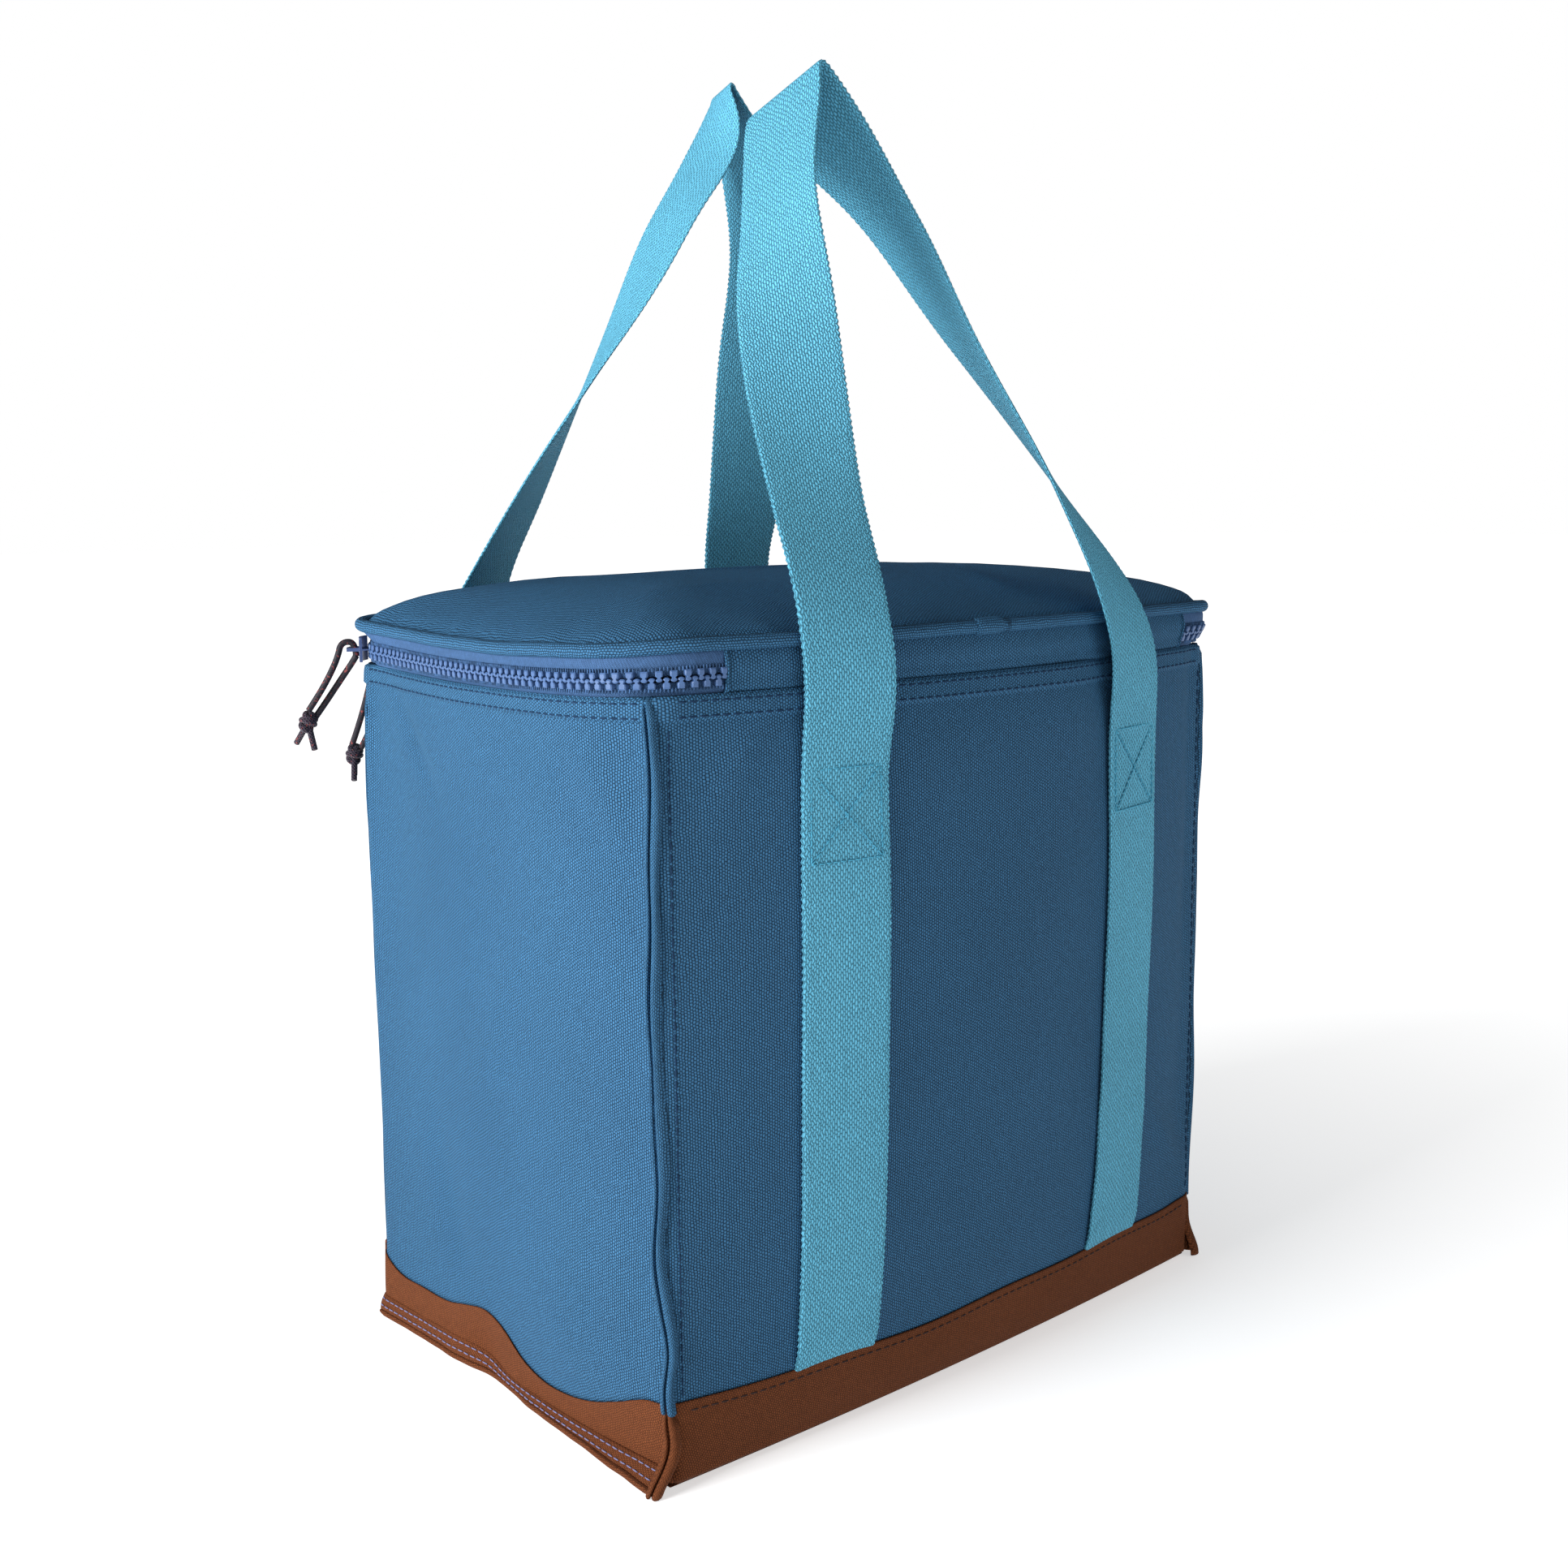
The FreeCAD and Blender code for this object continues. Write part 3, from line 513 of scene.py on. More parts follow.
# Threads: key, name, the two ends of their colour, then roughness, sheen, metallic and specular.
THREADS = (
    ("thread", "blue_thread", (0.006, 0.022, 0.055), (0.016, 0.045, 0.10), (0.7, 0.0, 0.0, 0.1)),
    ("dark_thread", "dark_thread", (0.02, 0.012, 0.012), (0.06, 0.035, 0.03), (0.7, 0.0, 0.0, 0.1)),
    ("lilac_thread", "lilac_thread", (0.10, 0.10, 0.22), (0.24, 0.24, 0.42), (0.5, 0.1, 0.0, 0.3)),
    ("strap_thread", "webbing_thread", (0.055, 0.27, 0.40), (0.085, 0.36, 0.52), (0.7, 0.0, 0.0, 0.1)),
)


def make_materials():
    made = {
        # The last two numbers of each woven cloth set how dark its painted gap shade and how light its
        # painted loop highlights are.
        "panel": woven("blue_oxford", PANEL_BLUE, 1.0 * MM, 1.17 * MM, 0.75, 0.0, 0.25 * MM, 0.19, 1.75),
        "band": woven("brown_oxford", BAND_BROWN, 0.85 * MM, 1.1 * MM, 0.85, 0.0, 0.2 * MM, 0.45, 1.4, 0.3),
        "webbing": woven("light_blue_webbing", WEB_BLUE, 1.05 * MM, 2.3 * MM, 0.7, 0.0, 0.4 * MM, 0.4, 1.25),
        "tape": woven("zip_tape", TAPE_BLUE, 0.5 * MM, 1.0 * MM, 0.7, 0.0, 0.1 * MM, 0.6, 1.25, slant=0.6),
    }
    for key, name, dark, light, settings in THREADS:
        thread = Shader(name, *settings)
        twist = thread.noise(0.7 * MM, 2)
        made[key] = thread.finish(thread.mix(twist, dark, light), twist, 0.1 * MM)
    teeth = Shader("moulded_teeth", 0.42, specular=0.35)
    grain = teeth.noise(1.2 * MM, 3)
    made["teeth"] = teeth.finish(teeth.mix(grain, tuple(0.85 * c for c in TEETH_BLUE),
                                           tuple(1.2 * c for c in TEETH_BLUE)), grain, 0.05 * MM, 0.6)
    foil = Shader("foil_liner", 0.34, metallic=0.85, specular=0.5)
    creases = foil.noise(14 * MM, 6)
    fine = foil.noise(3.2 * MM, 3)
    lumps = foil.math("ADD", creases, foil.math("MULTIPLY", fine, 0.25))
    silver = foil.mix(creases, (0.55, 0.56, 0.58), (0.82, 0.83, 0.84))
    made["foil"] = foil.finish(silver, lumps, 2.2 * MM, 0.8)
    foam = Shader("white_foam", 0.85)
    cells = foam.noise(0.8 * MM, 4)
    made["foam"] = foam.finish(foam.mix(cells, (0.62, 0.63, 0.63), (0.83, 0.84, 0.84)), cells, 0.2 * MM)
    board = Shader("grey_board", 0.6)
    grain = board.noise(2 * MM, 5)
    made["board"] = board.finish(board.mix(grain, (0.42, 0.42, 0.40), (0.56, 0.56, 0.54)), grain, 0.1 * MM)
    metal = Shader("painted_slider", 0.32, metallic=0.35, specular=0.5)
    wear = metal.noise(1.5 * MM, 5)
    worn = metal.mix(metal.span(wear, 0.6, 0.72), (0.06, 0.10, 0.24), (0.20, 0.24, 0.36))
    made["metal"] = metal.finish(worn, wear, 0.05 * MM, 0.5)
    cord = Shader("dark_braided_cord", 0.6, 0.15)
    u, v = cord.uv()
    braid_a = cord.math("SINE", cord.math("ADD", cord.math("MULTIPLY", v, 2 * math.pi / (1.5 * MM)),
                                          cord.math("MULTIPLY", u, 2 * math.pi / (1.36 * MM))))
    braid_b = cord.math("SINE", cord.math("SUBTRACT", cord.math("MULTIPLY", v, 2 * math.pi / (1.5 * MM)),
                                          cord.math("MULTIPLY", u, 2 * math.pi / (1.36 * MM))))
    braid = cord.math("MAXIMUM", braid_a, braid_b)
    flecks = cord.span(cord.noise(1.3 * MM, 2), 0.6, 0.66)
    # Painted shade: the cord's colour is darker between its braid's strands and lighter on their crests.
    braid_shaded_cord = cord.mix(cord.span(braid, 0.0, 1.0), (0.008, 0.006, 0.012), (0.035, 0.022, 0.045))
    made["cord"] = cord.finish(cord.mix(flecks, braid_shaded_cord, (0.20, 0.035, 0.035)), braid, 0.25 * MM)
    return made


MAT = make_materials()


# ---------------------------------------------------------------- camera, light and floor
CAMERA_PLACE = (-0.5194, -0.5781, 0.3434)
CAMERA_TURN = (41.68, -8.73, -0.67)


def make_camera():
    """The view: at the bag's front left corner, a little above its rim."""
    yaw, pitch, roll = (math.radians(angle) for angle in CAMERA_TURN)
    forward = Vector((math.sin(yaw) * math.cos(pitch), math.cos(yaw) * math.cos(pitch), math.sin(pitch)))
    right = Vector((math.cos(yaw), -math.sin(yaw), 0))
    over = right.cross(forward)
    level, upright = right, over
    right = math.cos(roll) * level + math.sin(roll) * upright
    over = math.cos(roll) * upright - math.sin(roll) * level
    data = bpy.data.cameras.new("camera")
    data.sensor_width = 36
    data.lens = 42.32
    data.clip_start = 0.01
    data.clip_end = 100
    camera = bpy.data.objects.new("camera", data)
    turn = Matrix((right, over, -forward)).transposed()
    camera.matrix_world = Matrix.Translation(CAMERA_PLACE) @ turn.to_4x4()
    bpy.context.scene.collection.objects.link(camera)
    bpy.context.scene.camera = camera


def add_light(name, place, aim, size, power):
    data = bpy.data.lights.new(name, "AREA")
    data.shape = "RECTANGLE"
    data.size, data.size_y = size
    data.energy = power
    light = bpy.data.objects.new(name, data)
    light.location = place
    light.rotation_mode = "QUATERNION"
    light.rotation_quaternion = (Vector(aim) - Vector(place)).to_track_quat("-Z", "Y")
    bpy.context.scene.collection.objects.link(light)


def make_studio():
    add_light("key", (-1.5, 0.12, 0.62), (-0.15, 0, 0.2), (0.7, 0.9), 36)
    add_light("fill", (0.7, -1.9, 0.9), (0, -0.1, 0.2), (1.2, 1.2), 7)
    add_light("top", (0.2, 0.3, 2.0), (0, 0, 0.3), (1.6, 1.6), 3)
    world = bpy.data.worlds.new("studio")
    world.use_nodes = True
    nodes, links = world.node_tree.nodes, world.node_tree.links
    light, seen = nodes["Background"], nodes.new("ShaderNodeBackground")
    light.inputs["Strength"].default_value = 0.13
    light.inputs["Color"].default_value = (0.95, 0.98, 1.0, 1)
    seen.inputs["Color"].default_value = (1, 1, 1, 1)
    path, mixed = nodes.new("ShaderNodeLightPath"), nodes.new("ShaderNodeMixShader")
    links.new(path.outputs["Is Camera Ray"], mixed.inputs[0])
    links.new(light.outputs[0], mixed.inputs[1])
    links.new(seen.outputs[0], mixed.inputs[2])
    links.new(mixed.outputs[0], nodes["World Output"].inputs["Surface"])
    bpy.context.scene.world = world
    bpy.context.scene.view_settings.view_transform = "Standard"
    paper = Shader("pale_floor", 0.9, specular=0.0)
    source = paper.node("ShaderNodeTexCoord")
    apart = paper.node("ShaderNodeVectorMath", operation="LENGTH")
    paper.links.new(source.outputs["Object"], apart.inputs[0])
    glow = paper.span(apart.outputs["Value"], 0.2, 1.1, 0.55, 1.05)
    paper.links.new(glow, paper.shader.inputs["Emission Strength"])
    paper.shader.inputs["Emission Color"].default_value = (1, 1, 1, 1)
    fibres = paper.noise(60 * MM, 4)
    white = paper.finish(paper.mix(fibres, (0.83, 0.83, 0.83), (0.86, 0.86, 0.86)), fibres, 0.1 * MM)
    reach = 14.0
    corners = [(-reach, -reach, 0), (reach, -reach, 0), (reach, reach, 0), (-reach, reach, 0)]
    floor = mesh_piece("floor", np.array(corners), [(0, 1, 2, 3)], np.zeros((4, 2)), white)


make_camera()
make_studio()


# ---------------------------------------------------------------- zip pulls
BAR_PLACES = {
    "corner": ((-151.513, 100.888), 142.0),
    "back": ((-127.0, 112.599), 101.42),
}
FRONT_STRAND = {
    "corner": ((-2.7, -2.9, 0), (-2.7, 2.9, 0), (3.1, 2.9, 0.3), (4.6, -3.4, 0.9), (8.2, -10.9, 1.7),
               (12.6, -18.2, 1.6), (17.2, -24.8, 1.4)),
    "back": ((-2.7, -2.9, 0), (-2.7, 2.9, 0), (3.1, 2.9, 0.3), (5.2, -3.6, 1.0), (9.0, -13.4, 1.8),
             (13.6, -26.0, 2.3), (20.0, -37.8, 1.8), (24.2, -44.4, 1.4)),
}
REAR_STRAND = {
    "corner": ((-2.7, -2.9, 0), (-1.2, -5.3, -0.4), (2.5, -10.3, -1.4), (7.1, -16.7, -1.9),
               (11.5, -23.0, -1.5), (14.9, -27.6, -1.3)),
    "back": ((-2.7, -2.9, 0), (-2.3, -7.4, -0.4), (1.6, -15.4, -1.6), (7.8, -24.6, -2.3),
             (14.8, -36.4, -1.8), (21.4, -45.6, -1.3)),
}
KNOTS = {"corner": (17.9, -29.6, 0), "back": (24.6, -48.6, 0)}
TAILS = {
    "corner": ((-0.2, -0.95, 0.25), (0.5, -0.8, -0.35)),
    "back": ((-0.25, -0.9, 0.3), (0.4, -0.85, -0.3)),
}
STRAND_LENGTHS = {"corner": (41.1, 30.5), "back": (61.8, 49.6)}
CORD_THICK = 2.6 * MM


def bail_place(name):
    """A function from outward, upward and along-the-zip millimetres to a point of the bag."""
    (x, y), degrees = BAR_PLACES[name]
    turn = math.radians(degrees)
    outward = Vector((math.cos(turn), math.sin(turn), 0))
    along = Vector((-math.sin(turn), math.cos(turn), 0))
    bar = Vector((x * MM, y * MM, ZIP_LEVEL))
    return lambda spot: bar + (outward * spot[0] + UP * spot[1] + along * spot[2]) * MM


def nurbs_cord(name, points):
    data = bpy.data.curves.new(name, "CURVE")
    data.dimensions = "3D"
    data.bevel_depth = CORD_THICK / 2
    data.bevel_resolution = 6
    data.resolution_u = 16
    data.use_fill_caps = True
    line = data.splines.new("NURBS")
    line.points.add(len(points) - 1)
    for spot, point in zip(points, line.points):
        point.co = (*spot, 1)
    line.order_u = 3
    line.use_endpoint_u = True
    data.materials.append(MAT["cord"])
    piece = bpy.data.objects.new(name, data)
    bpy.context.scene.collection.objects.link(piece)
    return piece


def overhand_knot(name, place, spot, tails):
    """A tight knot: three wraps of the doubled cord round its own strands, and two cut tails."""
    centre = np.array(place(spot))
    down = unit(np.array(place((spot[0] * 1.2, spot[1] * 1.25, 0))) - centre)
    side = unit(np.cross(down, (0.3, 0.9, 0.1)))
    third = np.cross(down, side)
    parts = []
    for wrap, (offset, lean, size) in enumerate(((-2.2, 0.35, 2.1), (0.1, -0.3, 2.55), (2.3, 0.4, 1.9))):
        angles = np.linspace(0, 2 * math.pi, 28, endpoint=False)
        ring = (centre + down * offset * MM
                + np.cos(angles)[:, None] * side * size * MM
                + np.sin(angles)[:, None] * (third + down * lean) * size * MM)
        wrap_name = "%s_wrap_%d" % (name, wrap)
        parts.append(tube(wrap_name, ring, CORD_THICK * 0.52, MAT["cord"], down, closed=True))
    core = [centre + down * offset * MM for offset in (-4.4, -2.0, 0.5, 2.8, 4.2)]
    parts.append(tube(name + "_core", core, CORD_THICK * 0.85, MAT["cord"], side, taper=(0.6, 0.9)))
    for number, tail in enumerate(tails):
        way = unit(np.array(place(tuple(a + b for a, b in zip(spot, tail)))) - centre)
        bend = unit(np.cross(way, side)) * (0.5 - number) * 1.6 * MM
        line = [centre + way * s * MM + bend * (s / 12) ** 2 for s in np.linspace(1, 12, 12)]
        parts.append(tube("%s_tail_%d" % (name, number), line, CORD_THICK / 2, MAT["cord"], side))
    return join(name, parts)


def join(name, parts):
    """Joins pieces of the same kind into one object."""
    bpy.ops.object.select_all(action="DESELECT")
    for part in parts:
        part.select_set(True)
    bpy.context.view_layer.objects.active = parts[0]
    bpy.ops.object.join()
    parts[0].name = name
    parts[0].data.name = name
    return parts[0]


def make_pulls():
    for name in ("corner", "back"):
        place = bail_place(name)
        body = name + "_pull"
        knot = overhand_knot(name + "_knot", place, KNOTS[name], TAILS[name])
        place_piece(knot, body, "pull_cord", body + "_knot")
        strands = (("front", FRONT_STRAND), ("rear", REAR_STRAND))
        for (which, routes), length in zip(strands, STRAND_LENGTHS[name]):
            points = [place(spot) for spot in routes[name]]
            strand = nurbs_cord("%s_%s_strand" % (name, which), points)
            place_piece(strand, body, "pull_cord", "%s_%s_strand" % (body, which))


make_pulls()


# ---------------------------------------------------------------- walls
HEM = 8.2 * MM
HEM_RAISE = 1.25 * MM
PANEL_THICK = 0.9 * MM


def band_line(side, along):
    """Height of the seam between the blue panel and the brown band."""
    u = along / MM
    if side == "left":
        stops = ((-101, 30.5), (-90, 30), (-74, 24), (-58, 18), (-40, 14), (-22, 13.5), (-10, 17),
                 (2, 25), (14, 28.5), (28, 26.5), (44, 22.5), (64, 21.5), (86, 22), (101, 28))
        return through(stops, u) * MM
    if side == "right":
        stops = ((-101, 30), (-70, 25), (-30, 27), (0, 22), (35, 17), (70, 22), (101, 30))
        return through(stops, u) * MM
    return BAND_TOP + (0.8 * np.sin(u / 31) + 0.5 * np.sin(u / 13 + 1)) * MM


def hem_profile(z, low, high):
    """A doubled edge between two heights that stands proud of the single cloth."""
    return HEM_RAISE * ease(low - 0.5 * MM, low + 0.6 * MM, z) * (1 - 0.9 * ease(high - 0.9 * MM, high, z))


def wall_rows(low, high, hem):
    """Heights for a wall's rows, close together where its hem steps out."""
    plain = np.linspace(low, high - HEM - 1.2 * MM, int((high - low) / (3.2 * MM)))
    step = high - HEM + np.array([-0.7, -0.2, 0.2, 0.8]) * MM
    top = np.linspace(high - HEM + 2.2 * MM, high - 1.2 * MM, 4)
    edge = high + np.array([-0.8, -0.4, -0.1, 0.2]) * MM
    return np.r_[plain, step, top, edge] if hem else np.linspace(low, high, int((high - low) / (3.2 * MM)))


def make_panel(side):
    columns = 110 if side in ("front", "back") else 80
    place = np.sin(np.linspace(-1, 1, columns) * math.pi / 2 * 0.97) / math.sin(math.pi / 2 * 0.97)
    _, _, along = plan_point(side, place, BAND_TOP)
    low = band_line(side, along)
    share = (wall_rows(BAND_TOP, BODY_TOP, True) - BAND_TOP) / (BODY_TOP - BAND_TOP)
    z = low[None, :] + share[:, None] * (BODY_TOP - low[None, :])
    z[share > 0.7] = (BAND_TOP + share * (BODY_TOP - BAND_TOP))[share > 0.7, None]
    out = hem_profile(z, BODY_TOP - HEM, BODY_TOP)
    points, along = wall(side, place[None, :] + 0 * z, z, out)
    uvs = np.stack([along, z], -1)
    outward = {"front": (0, -1, 0), "back": (0, 1, 0), "left": (-1, 0, 0), "right": (1, 0, 0)}[side]
    panel = cloth(side + "_panel_cloth", points, uvs, PANEL_THICK, MAT["panel"], np.array(outward))
    place_piece(panel, "root", "panel_fabric", side + "_panel", side + "_foam")
    return panel


def make_band(side):
    """The brown cloth of one side, from the blue panel's seam down and, on the long sides, under the bag."""
    long_side = side in ("front", "back")
    columns = 110 if long_side else 90
    place = np.linspace(-1, 1, columns)
    _, _, along = plan_point(side, place, BAND_TOP)
    top = band_line(side, along) + 1.0 * MM
    low = 0.6 * MM if long_side else 2.2 * MM
    share = np.r_[np.linspace(0, 0.86, 12), 0.9, 0.94, 0.965, 0.985, 1.0]
    z = low + share[:, None] * (top[None, :] - low)
    out = 0.85 * MM * (1 - 0.45 * ease(0.98, 1.0, share))[:, None] + 0 * z
    if long_side:
        out = out - 2.6 * MM * (1 - ease(0, 3.2 * MM, z - low)) ** 2
    points, along = wall(side, place[None, :] + 0 * z, z, out)
    uvs = np.stack([along, z], -1)
    outward = {"front": (0, -1, 0), "back": (0, 1, 0), "left": (-1, 0, 0), "right": (1, 0, 0)}[side]
    band = cloth(side + "_band_cloth", points, uvs, PANEL_THICK, MAT["band"], np.array(outward))
    nodes = (side + "_band",) if not long_side else ()
    place_piece(band, "root", "band_fabric", *nodes)
    return band


def make_base():
    """The underside: one brown sheet with a soft sag between its folds."""
    rows, columns = 60, 90
    s = np.linspace(-1, 1, rows)[:, None] + np.zeros((1, columns))
    t = np.linspace(-1, 1, columns)[None, :] + 0 * s
    x = t * (HALF - 0.6 * MM)
    half_y = DEPTH + fullness(np.full_like(x, 0.6 * MM)) * (1 - (x / HALF) ** 2) - 2.2 * MM
    y = s * half_y
    z = 0.35 * MM + 0.5 * MM * (1 - np.abs(s) ** 6) * (1 - np.abs(t) ** 6)
    points = np.stack([x, y, z], -1)
    points[..., 2] += 0.25 * MM * np.abs(ripple(points, 35 * MM, 9))
    base = cloth("base_cloth", points, np.stack([x, y], -1), -0.8 * MM, MAT["band"], np.array((0, 0, -1)))
    return place_piece(base, "root", "band_fabric", "base_wrap")


def row_on_wall(side, place, z, out=0.4 * MM):
    points, _ = wall(side, np.asarray(place, float), np.asarray(z, float), out)
    return points


def panel_stitches():
    """Topstitching of the hems, beside the corner seams and along the band's folded edge."""
    rows, ways, band_rows, band_ways = [], [], [], []
    outward = {"front": (0, -1, 0), "back": (0, 1, 0), "left": (-1, 0, 0), "right": (1, 0, 0)}
    place = np.linspace(-0.955, 0.955, 90)
    for side in outward:
        for height, raise_by in ((BODY_TOP - HEM + 1.2 * MM, 1.0), (BODY_TOP - 1.9 * MM, 1.0)):
            rows.append(row_on_wall(side, place, height + 0 * place, HEM_RAISE * raise_by))
            ways.append(outward[side])
        if side in ("front", "back"):
            heights = np.linspace(BAND_TOP + 4 * MM, BODY_TOP - HEM - 2 * MM, 80)
            for corner in (-0.972, 0.972):
                rows.append(row_on_wall(side, corner + 0 * heights, heights, 0.05 * MM))
                ways.append(outward[side])
        _, _, along = plan_point(side, place, BAND_TOP)
        if side in ("front", "back"):
            band_rows.append(row_on_wall(side, place, band_line(side, along) - 2.6 * MM, 0.8 * MM))
            band_ways.append(outward[side])
    place_piece(stitches("panel_topstitching", rows, MAT["thread"], ways), "root", "panel_fabric")
    dark = stitches("band_topstitching", band_rows, MAT["dark_thread"], band_ways)
    place_piece(dark, "root", "band_fabric")


CORNERS = {"front_left": (-1, -1), "front_right": (1, -1), "back_left": (-1, 1), "back_right": (1, 1)}
FIN_SECTION = ((-2.7, -1.6), (-2.5, 0.2), (-2.0, 1.6), (-1.2, 2.3), (-0.55, 1.9), (-0.18, 0.7), (0.0, -0.4),
               (0.2, 1.2), (0.8, 2.8), (2.0, 3.4), (3.4, 2.7), (4.3, 1.2), (4.6, -0.4), (4.5, -1.6))
FIN_DRIFT = ((0, -2.5), (8, -1.2), (25, -1.8), (36, -2.1), (50, -0.7), (66, -2.2), (84, -3.4), (115, -2.1),
             (150, -3.1), (185, -3.0), (240, -2.8), (270, -1.9), (283, -2.6))
FIN_TIPS = {
    "front_left": (-8.0, -1.6),
    "front_right": (4.0, -3.0),
    "back_left": (0.5, 2.0),
    "back_right": (3.0, 3.0),
}
FIN_PROUD = {"front_left": 1.0, "front_right": 0.75, "back_left": 0.35, "back_right": 0.8}


def make_fin(name, colour, low, high):
    """A corner's turned-out seam: two folded edges side by side with a groove between them."""
    x_sign, y_sign = CORNERS[name]
    rows = np.linspace(low, high - 2.5 * MM, int((high - low) / (2.4 * MM)) + 2)
    rows = np.r_[rows, high - 1.2 * MM, high - 0.3 * MM]
    side = "front" if y_sign < 0 else "back"
    corner, normals, _ = plan_point(side, np.full(len(rows), float(x_sign)), rows)
    base = settle(corner)
    tangents = np.cross(normals, (0, 0, 1)) * (x_sign * -y_sign)
    phase = {"front_left": 0.0, "front_right": 1.7, "back_left": 3.1, "back_right": 4.4}[name]
    z = rows / MM
    sway = 0.35 * np.sin(z / 17 + phase) + 0.3 * np.sin(z / 7.5 + phase)
    drift = through(FIN_DRIFT, (z + 23 * phase) % 283 if name != "front_left" else z) * -y_sign
    thin = 1 - 0.55 * ease(high / MM - 5, high / MM, z)
    swing = 1.2 * np.sin(z / 29 + 3 * phase)
    section = np.array(FIN_SECTION) * MM
    points = []
    for i in range(len(rows)):
        width = 0.84 + 0.10 * math.sin(z[i] / 9 + phase)
        across = section[:, 0] * width * thin[i] + (sway[i] + drift[i]) * MM
        rise = section[:, 1] * thin[i] * (1 + 0.12 * math.sin(z[i] / 13 + phase)) * FIN_PROUD[name] - 0.3 * MM
        lean = np.clip(section[:, 1], 0, None) * swing[i] * 0.22
        points.append(base[i] + (across + lean)[:, None] * tangents[i] + rise[:, None] * normals[i])
    points = np.array(points)
    if colour == "band":
        flare = ((1 - ease(0, 20 * MM, rows)) ** 1.2)[:, None, None]
        points = points + flare * np.array((*FIN_TIPS[name], 0)) * MM
        points[..., 2] = np.maximum(points[..., 2], 0.3 * MM)
    uvs = np.stack(np.broadcast_arrays(section[None, :, 0] * 1.8, rows[:, None]), -1)
    fin = cloth("%s_%s_seam" % (name, colour), points, uvs, 0.5 * MM, MAT[colour], normals.mean(0))
    slot = {"panel": "panel_fabric", "band": "band_fabric"}[colour]
    return place_piece(fin, "root", slot)


SEAM_FLARE = ((-100, 7.5), (-71, 5.5), (-43, 3.8), (-18, 2.2), (8, -1.2), (20, -1.6), (32, 0.3), (60, 0.8),
              (100, 1.5))
SEAM_HEIGHT = ((-100, 8), (-60, 6.5), (-20, 6), (10, 7), (30, 9.5), (70, 9.5), (100, 9))


def make_base_seam(side):
    """The turned-out seam allowance along the bottom of an end, with its rolled lower edge."""
    sign = -1 if side == "left" else 1
    # The right end's seam is the left's turned half round, so its run starts at the back.
    run = np.linspace(-DEPTH - 1.5 * MM, DEPTH + 1.3 * MM, 110)
    y = run * -sign
    flare = through(SEAM_FLARE, run / MM) * MM
    high = through(SEAM_HEIGHT, run / MM) * MM
    place = y / (DEPTH * 1.02)
    top, _ = wall(side, place, high, 0.9 * MM)
    share = np.linspace(0, 1, 12)
    points = np.zeros((len(share), len(y), 3))
    for i, s in enumerate(share):
        spot = top.copy()
        spot[:, 0] = top[:, 0] * (1 - s) + sign * (HALF + flare + 0.9 * MM) * s
        spot[:, 0] += sign * 0.8 * MM * math.sin(math.pi * s)
        spot[:, 2] = high * (1 - s) + 1.3 * MM * s
        points[i] = spot
    points[..., 0] += sign * 0.35 * MM * ripple(points, 9 * MM, 5)
    uvs = np.stack(np.broadcast_arrays(y[None, :], (1 - share)[:, None] * 10 * MM), -1)
    strip = cloth(side + "_seam_strip", points, uvs, 1.3 * MM, MAT["band"], np.array((sign, 0, 0)))
    edge = points[-1] + np.array((0, 0, 0.15 * MM))
    roll = tube(side + "_seam_roll", edge, 1.25 * MM, MAT["band"], UP, 10, taper=(0.5, 0.8))
    joined = join(side + "_seam_allowance", [strip, roll])
    place_piece(joined, "root", "band_fabric", side + "_base_seam")
    rows = [points[number] + np.array((sign * 0.35 * MM, 0, 0)) for number in (2, 6)]
    thread = stitches(side + "_seam_stitching", rows, MAT["lilac_thread"], [(sign, 0, 0.4)] * 2,
                      length=3.0 * MM, gap=0.8 * MM, radius=0.3 * MM)
    place_piece(thread, "root", "band_fabric")


def make_body():
    for side in ("front", "back", "left", "right"):
        make_panel(side)
        make_band(side)
    make_base()
    panel_stitches()
    for name in CORNERS:
        top = BODY_TOP + 0.8 * MM if name != "back_left" else BODY_TOP - 13 * MM
        low = BAND_TOP - 1.5 * MM
        make_fin(name, "panel", low, top)
        make_fin(name, "band", 0.4 * MM, low + 1.0 * MM)
    for side in ("left", "right"):
        make_base_seam(side)


make_body()


# ---------------------------------------------------------------- rim, zip and hinge strip
WAY_ROUND = (("front", 0.0, -1.0), ("left", -1.0, 1.0), ("back", -1.0, 1.0), ("right", 1.0, -1.0),
             ("front", 1.0, 0.0))


def rim_path(offset, z, start=None, step=1.2 * MM, count=None):
    """Points round the plan at a height, from the middle of the front past its left corner and on
    round the back, or only between the zip's ends. Also gives outward normals and lengths."""
    pieces, ways = [], []
    for side, first, last in WAY_ROUND:
        place = np.linspace(first, last, 160)
        points, normals, _ = plan_point(side, place, z + 0 * place, offset)
        pieces.append(points)
        ways.append(normals)
    points, normals = np.concatenate(pieces), np.concatenate(ways)
    if start is not None:
        in_front = (points[:, 1] < 0) & (np.abs(points[:, 0]) < start) & (np.abs(points[:, 1]) > 0.5 * DEPTH)
        points, normals = points[~in_front], normals[~in_front]
    keep = np.r_[True, np.linalg.norm(np.diff(points, axis=0), axis=1) > 1e-6]
    points, normals = points[keep], normals[keep]
    length = lengths_along(points)
    places = np.linspace(0, length[-1], count or int(length[-1] / step) + 1)
    line = picked(places, length, points)
    way = unit(picked(places, length, normals))
    return line, way, places


CHAIN_HALF = 3.1 * MM
TOOTH_PITCH = 4.2 * MM
TOOTH_OUTLINE = ((1.05, 3.1), (1.15, 1.75), (1.0, 1.15), (0.5, 0.75), (0.55, 0.35), (1.0, 0.0), (0.85, -0.45),
                 (0.35, -0.75), (-0.35, -0.75), (-0.85, -0.45), (-1.0, 0.0), (-0.55, 0.35), (-0.5, 0.75),
                 (-1.0, 1.15), (-1.15, 1.75), (-1.05, 3.1))


